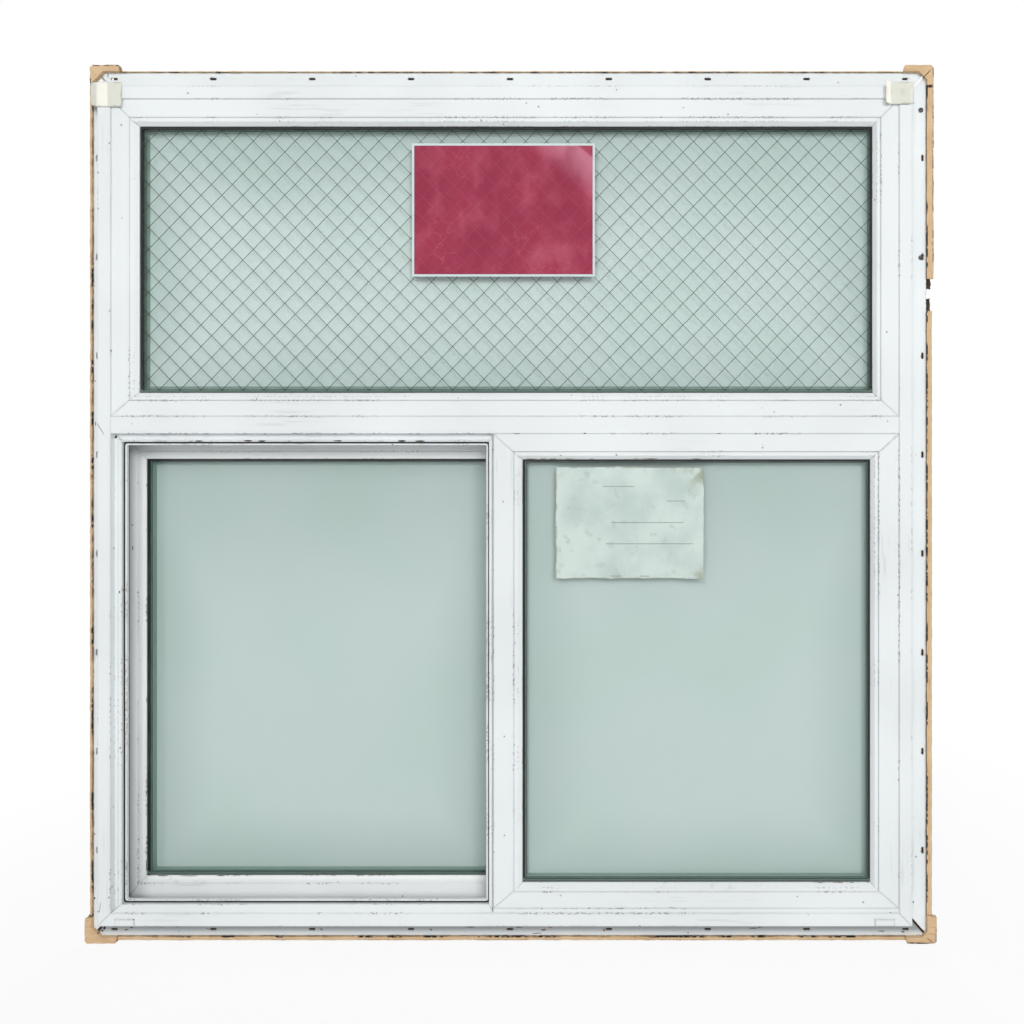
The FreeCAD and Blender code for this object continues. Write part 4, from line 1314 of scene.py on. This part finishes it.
inner_left = fin_left + FLAP_REACH
inner_right = -inner_left
inner_top = fin_top - FLAP_REACH
inner_low = fin_low + FLAP_REACH
FLAPS = {
    "card_flap_left": ((fin_left, inner_low), (inner_left, inner_top), lambda co: co.x > inner_left - MM),
    "card_flap_right": (
        (inner_right, inner_low),
        (fin_right, inner_top),
        lambda co: co.x < MM + inner_right,
    ),
    "card_flap_top": ((inner_left, inner_top), (inner_right, fin_top), lambda co: co.z < inner_top + MM),
    "card_flap_sill": ((fin_left, fin_low), (fin_right, inner_low), lambda co: co.z > inner_low - MM),
}
for name, (low, high, is_inner) in FLAPS.items():
    card_flap(name, low, high, is_inner)


def torn_stub(name, pixels, seed):
    """A ragged scrap of the back leg, left where the strip is torn away, painted black as shade."""
    stub_depth = FLAP_THICKNESS + FILM_GAP
    stub = photo_sheet(name, pixels, stub_depth)
    pick(stub, "FACE", lambda face: True)
    bpy.ops.mesh.subdivide(number_cuts=STUB_CUTS)
    bpy.ops.transform.vertex_random(offset=STUB_RAGGED, seed=seed)
    bpy.ops.transform.resize(value=(1, 0, 1), center_override=(0, stub_depth, 0))
    bpy.ops.object.mode_set(mode="OBJECT")
    thickened(stub, FLAP_THICKNESS)
    apply_all(stub)
    stub.data.materials.append(shaded_black_card)
    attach(stub, "frame")


torn_stub("torn_stub_upper", UPPER_STUB, 3)
torn_stub("torn_stub_lower", LOWER_STUB, 5)
print("four card flaps and two torn stubs")

# %% [markdown]
# ## Worn edging
# The guards and strips themselves are crushed card. Dents could be sculpted by hand, but not twice alike.
# The solids give their exact place, so each is copied, its faces are joined and rebuilt as an even net by
# a Remesh modifier, and noise then dents it.

# %% Worn edging
GUARD_NET = 1.0 * MM
STRIP_NET = 1.5 * MM
CARD_DENTS = 1.4 * MM
STRIP_STRETCH = 1.004

worn = 0
for node in sorted(nodes):
    if not node.startswith(("corner_guard", "edge_strip")):
        continue
    only(nodes[node])
    bpy.ops.object.duplicate()
    card = bpy.context.object
    card.name = "worn_" + node
    card.data = card.data.copy()
    pick(card, "FACE", lambda face: True)
    bpy.ops.mesh.remove_doubles(threshold=0.01 * MM)
    bpy.ops.mesh.normals_make_consistent(inside=False)
    if node.startswith("edge_strip"):
        low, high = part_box(node)
        along_x = high.x - low.x > high.z - low.z
        stretch = (STRIP_STRETCH, 1, 1) if along_x else (1, 1, STRIP_STRETCH)
        bpy.ops.transform.resize(value=stretch, center_override=(low + high) / 2)
    bpy.ops.object.mode_set(mode="OBJECT")
    net = card.modifiers.new("net", "REMESH")
    net.mode = "VOXEL"
    net.voxel_size = GUARD_NET if node.startswith("corner") else STRIP_NET
    displaced(card, wandering(node + "_dents", 0.011), CARD_DENTS, "NORMAL", 0.55)
    apply_all(card)
    bpy.ops.object.shade_smooth_by_angle(angle=math.radians(40))
    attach(card, "frame")
    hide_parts(node)
    worn += 1
print("worn card on", worn, "edge pieces")

# %% [markdown]
# ## Where the marks are
# Forklifts, floors and other windows have left torn black spots and scratches, most of them along the foot
# of the transom and the step above the sill's fin. A random scatter would put them in the wrong places, so
# each mark is written down as it shows: across, down, length, height, all in pixels, and its turn in
# degrees.

# %% Where the marks are
TRANSOM_KNOCKS = (
    (116.0, 437.0, 2.5, 3.0, 0), (149, 433.6, 4, 0.9, 0), (163, 433.7, 8, 0.9, 0), (186, 433.7, 5, 0.9, 0),
    (206, 433.6, 7, 0.9, 0), (265, 433.6, 3, 1.2, 0), (308, 433.7, 3, 0.8, 0), (335, 433.6, 5, 0.9, 0),
    (410, 433.6, 4, 1.1, 0), (418, 433.6, 5, 1.0, 0), (451, 433.7, 3, 0.8, 0), (489, 433.8, 4, 1.4, 0),
    (517, 433.5, 6, 0.8, 0), (585, 433.3, 3, 0.9, 0), (719, 433.4, 4, 0.8, 0), (756, 433.5, 3, 0.8, 0),
)
LIP_KNOCKS = (
    (199, 441.0, 8, 1.2, 0), (248, 440.8, 9, 1.4, 0), (262, 441.0, 8, 1.3, 0), (338, 440.8, 8, 1.3, 0),
    (402, 440.9, 8, 1.5, 0), (420, 441.0, 10, 1.3, 0), (119.6, 592, 1.6, 2.6, 0), (120.2, 748, 1.2, 2.0, 0),
)
SILL_KNOCKS = (
    (104.6, 927.6, 2.6, 4.5, 12), (102.6, 930.6, 2.2, 1.6, 40), (126.5, 929.6, 4.4, 1.5, -12),
    (131.5, 927.4, 2.8, 1.4, -10), (150.5, 927.0, 1.6, 0.9, 0), (161.6, 927.0, 1.8, 0.9, 0),
    (177.4, 926.8, 2.2, 0.9, 0), (208, 928.8, 2.6, 1.0, 40), (321.5, 929.3, 3.0, 1.2, 30),
    (431, 929.6, 2.4, 1.6, 25), (470, 927.0, 9, 0.8, 0), (519, 927.2, 6, 0.8, 0),
    (543.5, 929.8, 5.0, 1.6, -5), (537, 933.2, 11, 0.7, -3), (550.5, 927.4, 3.0, 0.9, 0),
    (604, 930.0, 3.0, 1.8, 30), (688, 932.6, 1.6, 1.0, 0), (753, 928.2, 9, 0.8, 0),
    (759.6, 927.2, 3.0, 1.0, 0), (881, 931.0, 8.5, 1.0, 2), (902.8, 931.8, 4.0, 1.4, 8),
)
FIN_KNOCKS = (
    (94.7, 898.0, 1.2, 2.4, 0), (94.9, 834.0, 1.0, 1.6, 0), (95.6, 423.5, 0.7, 5.0, 0),
    (100.6, 429.0, 15.0, 0.5, 60), (100.0, 907.7, 10.6, 0.5, 95), (95.3, 381.0, 1.2, 1.2, 0),
    (913.2, 902.0, 1.0, 2.6, 0), (890.6, 912.6, 1.2, 1.2, 0), (553.0, 912.6, 1.2, 1.2, 0),
    (920.2, 929.0, 17.0, 0.6, 49),
)
# Dark lines along the folds and edges of the card edging are painted shade in its creases.
CARD_FOLD_SHADE = (
    (101.0, 76.0, 17, 0.7, 47), (108.0, 72.5, 11, 0.6, 90), (926.6, 74.2, 14, 0.7, -46),
    (97.2, 933.8, 16, 0.7, -47), (90.4, 915.0, 4, 1.6, -30), (117.0, 939.8, 4, 1.6, -15),
    (930.2, 940.6, 9, 0.7, 41), (918.0, 943.2, 24, 1.3, 1),
)
BEAD_KNOCKS = (
    (531, 458.7, 10, 0.9, 0), (543, 458.5, 6, 0.8, 0), (553, 458.7, 8, 0.9, 0), (570, 458.6, 9, 0.8, 0),
    (592, 458.7, 4, 0.7, 0), (636, 458.6, 6, 0.8, 0), (650, 458.5, 16, 0.8, 0), (696, 458.6, 8, 0.8, 0),
    (820.5, 882.8, 5, 0.8, 0), (838, 882.7, 11, 0.8, 0), (852, 882.6, 4, 0.8, 0), (868, 882.6, 2, 0.8, 0),
)
SASH_KNOCKS = (
    (149, 875.2, 4, 1.2, 0), (163, 875.7, 12, 0.8, 0), (189, 875.8, 20, 0.7, 0), (221, 875.7, 9, 0.8, 0),
    (146.4, 866, 0.8, 9, 0), (146.6, 842, 0.8, 5, 0), (146.5, 792, 0.9, 3, 0), (146.6, 700, 0.8, 6, 0),
    (146.6, 612, 0.8, 4, 0), (146.5, 485, 1.0, 2.4, 0), (132.6, 525, 0.8, 2, 0), (132.8, 548, 0.8, 5, 0),
)
FRAME_KNOCKS = TRANSOM_KNOCKS + LIP_KNOCKS + SILL_KNOCKS + FIN_KNOCKS + CARD_FOLD_SHADE + BEAD_KNOCKS
print(len(FRAME_KNOCKS), "marks on the frame and", len(SASH_KNOCKS), "on the sash")

# %% [markdown]
# ## Knocks and scratches
# A paint texture could hold the marks, but a few dozen small flakes need none: each is a many-sided disc,
# stretched along its mark and made ragged by a random move of its rim. A ray from the camera finds the
# face that carries it, and Solidify gives all of them their body. The sash's own marks are a piece apart,
# because they travel with the sash.

# %% Knocks and scratches
KNOCK_SIDES = 11
KNOCK_RAGGED = 0.22
KNOCK_RAGGED_MOST = 2.0
KNOCK_LIFT = 0.04 * MM
KNOCK_BODY = 0.12 * MM
surroundings = bpy.context.evaluated_depsgraph_get()
# One dark material draws the knocks and the painted shade in the card's folds.
material, tree, shader, place = new_finish("torn_vinyl_and_fold_shade")
tear = cloud(tree, place, 25.0, 2.0)
feed(shader.inputs["Base Color"], blended(tree, ramp(tree, tear, 0.45, 0.6), CHIP_BLACK, CHIP_BROWN))
feed(shader.inputs["Roughness"], ramp(tree, tear, 0.3, 0.7, 0.7, 0.9))


def ragged_flake(across, down, length, height, turn, seed):
    """One ragged disc on the face that shows at a pixel of the photograph."""
    look = (photo_point(across, down, front_y) - eye).normalized()
    spot = bpy.context.scene.ray_cast(surroundings, eye, look)[1]
    spot.y -= KNOCK_LIFT
    bpy.ops.object.select_all(action="DESELECT")
    bpy.ops.mesh.primitive_circle_add(
        vertices=KNOCK_SIDES,
        radius=PIXEL / 2,
        fill_type="NGON",
        location=spot,
        rotation=(math.pi / 2, math.radians(turn), 0),
    )
    flake = bpy.context.object
    flake.scale = (length, height, 1)
    bpy.ops.object.transform_apply(location=True, rotation=True, scale=True)
    pick(flake, "VERT", lambda vertex: True)
    ragged = KNOCK_RAGGED * PIXEL * min(length, height, KNOCK_RAGGED_MOST)
    bpy.ops.transform.vertex_random(offset=ragged, seed=seed)
    bpy.ops.transform.resize(value=(1, 0, 1), center_override=spot)
    bpy.ops.object.mode_set(mode="OBJECT")
    return flake


def knocked(name, marks, body):
    """All the marks of one body, joined and given their thickness."""
    flakes = [ragged_flake(*mark, seed) for seed, mark in enumerate(marks)]
    only(flakes[0])
    for flake in flakes:
        flake.select_set(True)
    bpy.ops.object.join()
    flakes[0].name = name
    thickened(flakes[0], KNOCK_BODY)
    apply_all(flakes[0])
    flakes[0].data.materials.append(material)
    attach(flakes[0], body)
    print(len(marks), "marks in", name)


knocked("knocks", FRAME_KNOCKS, "frame")
knocked("sash_knocks", SASH_KNOCKS, "sash")

# %% [markdown]
# Whatever we added should stay close to the solids, or the window would no longer fit its opening.

import json
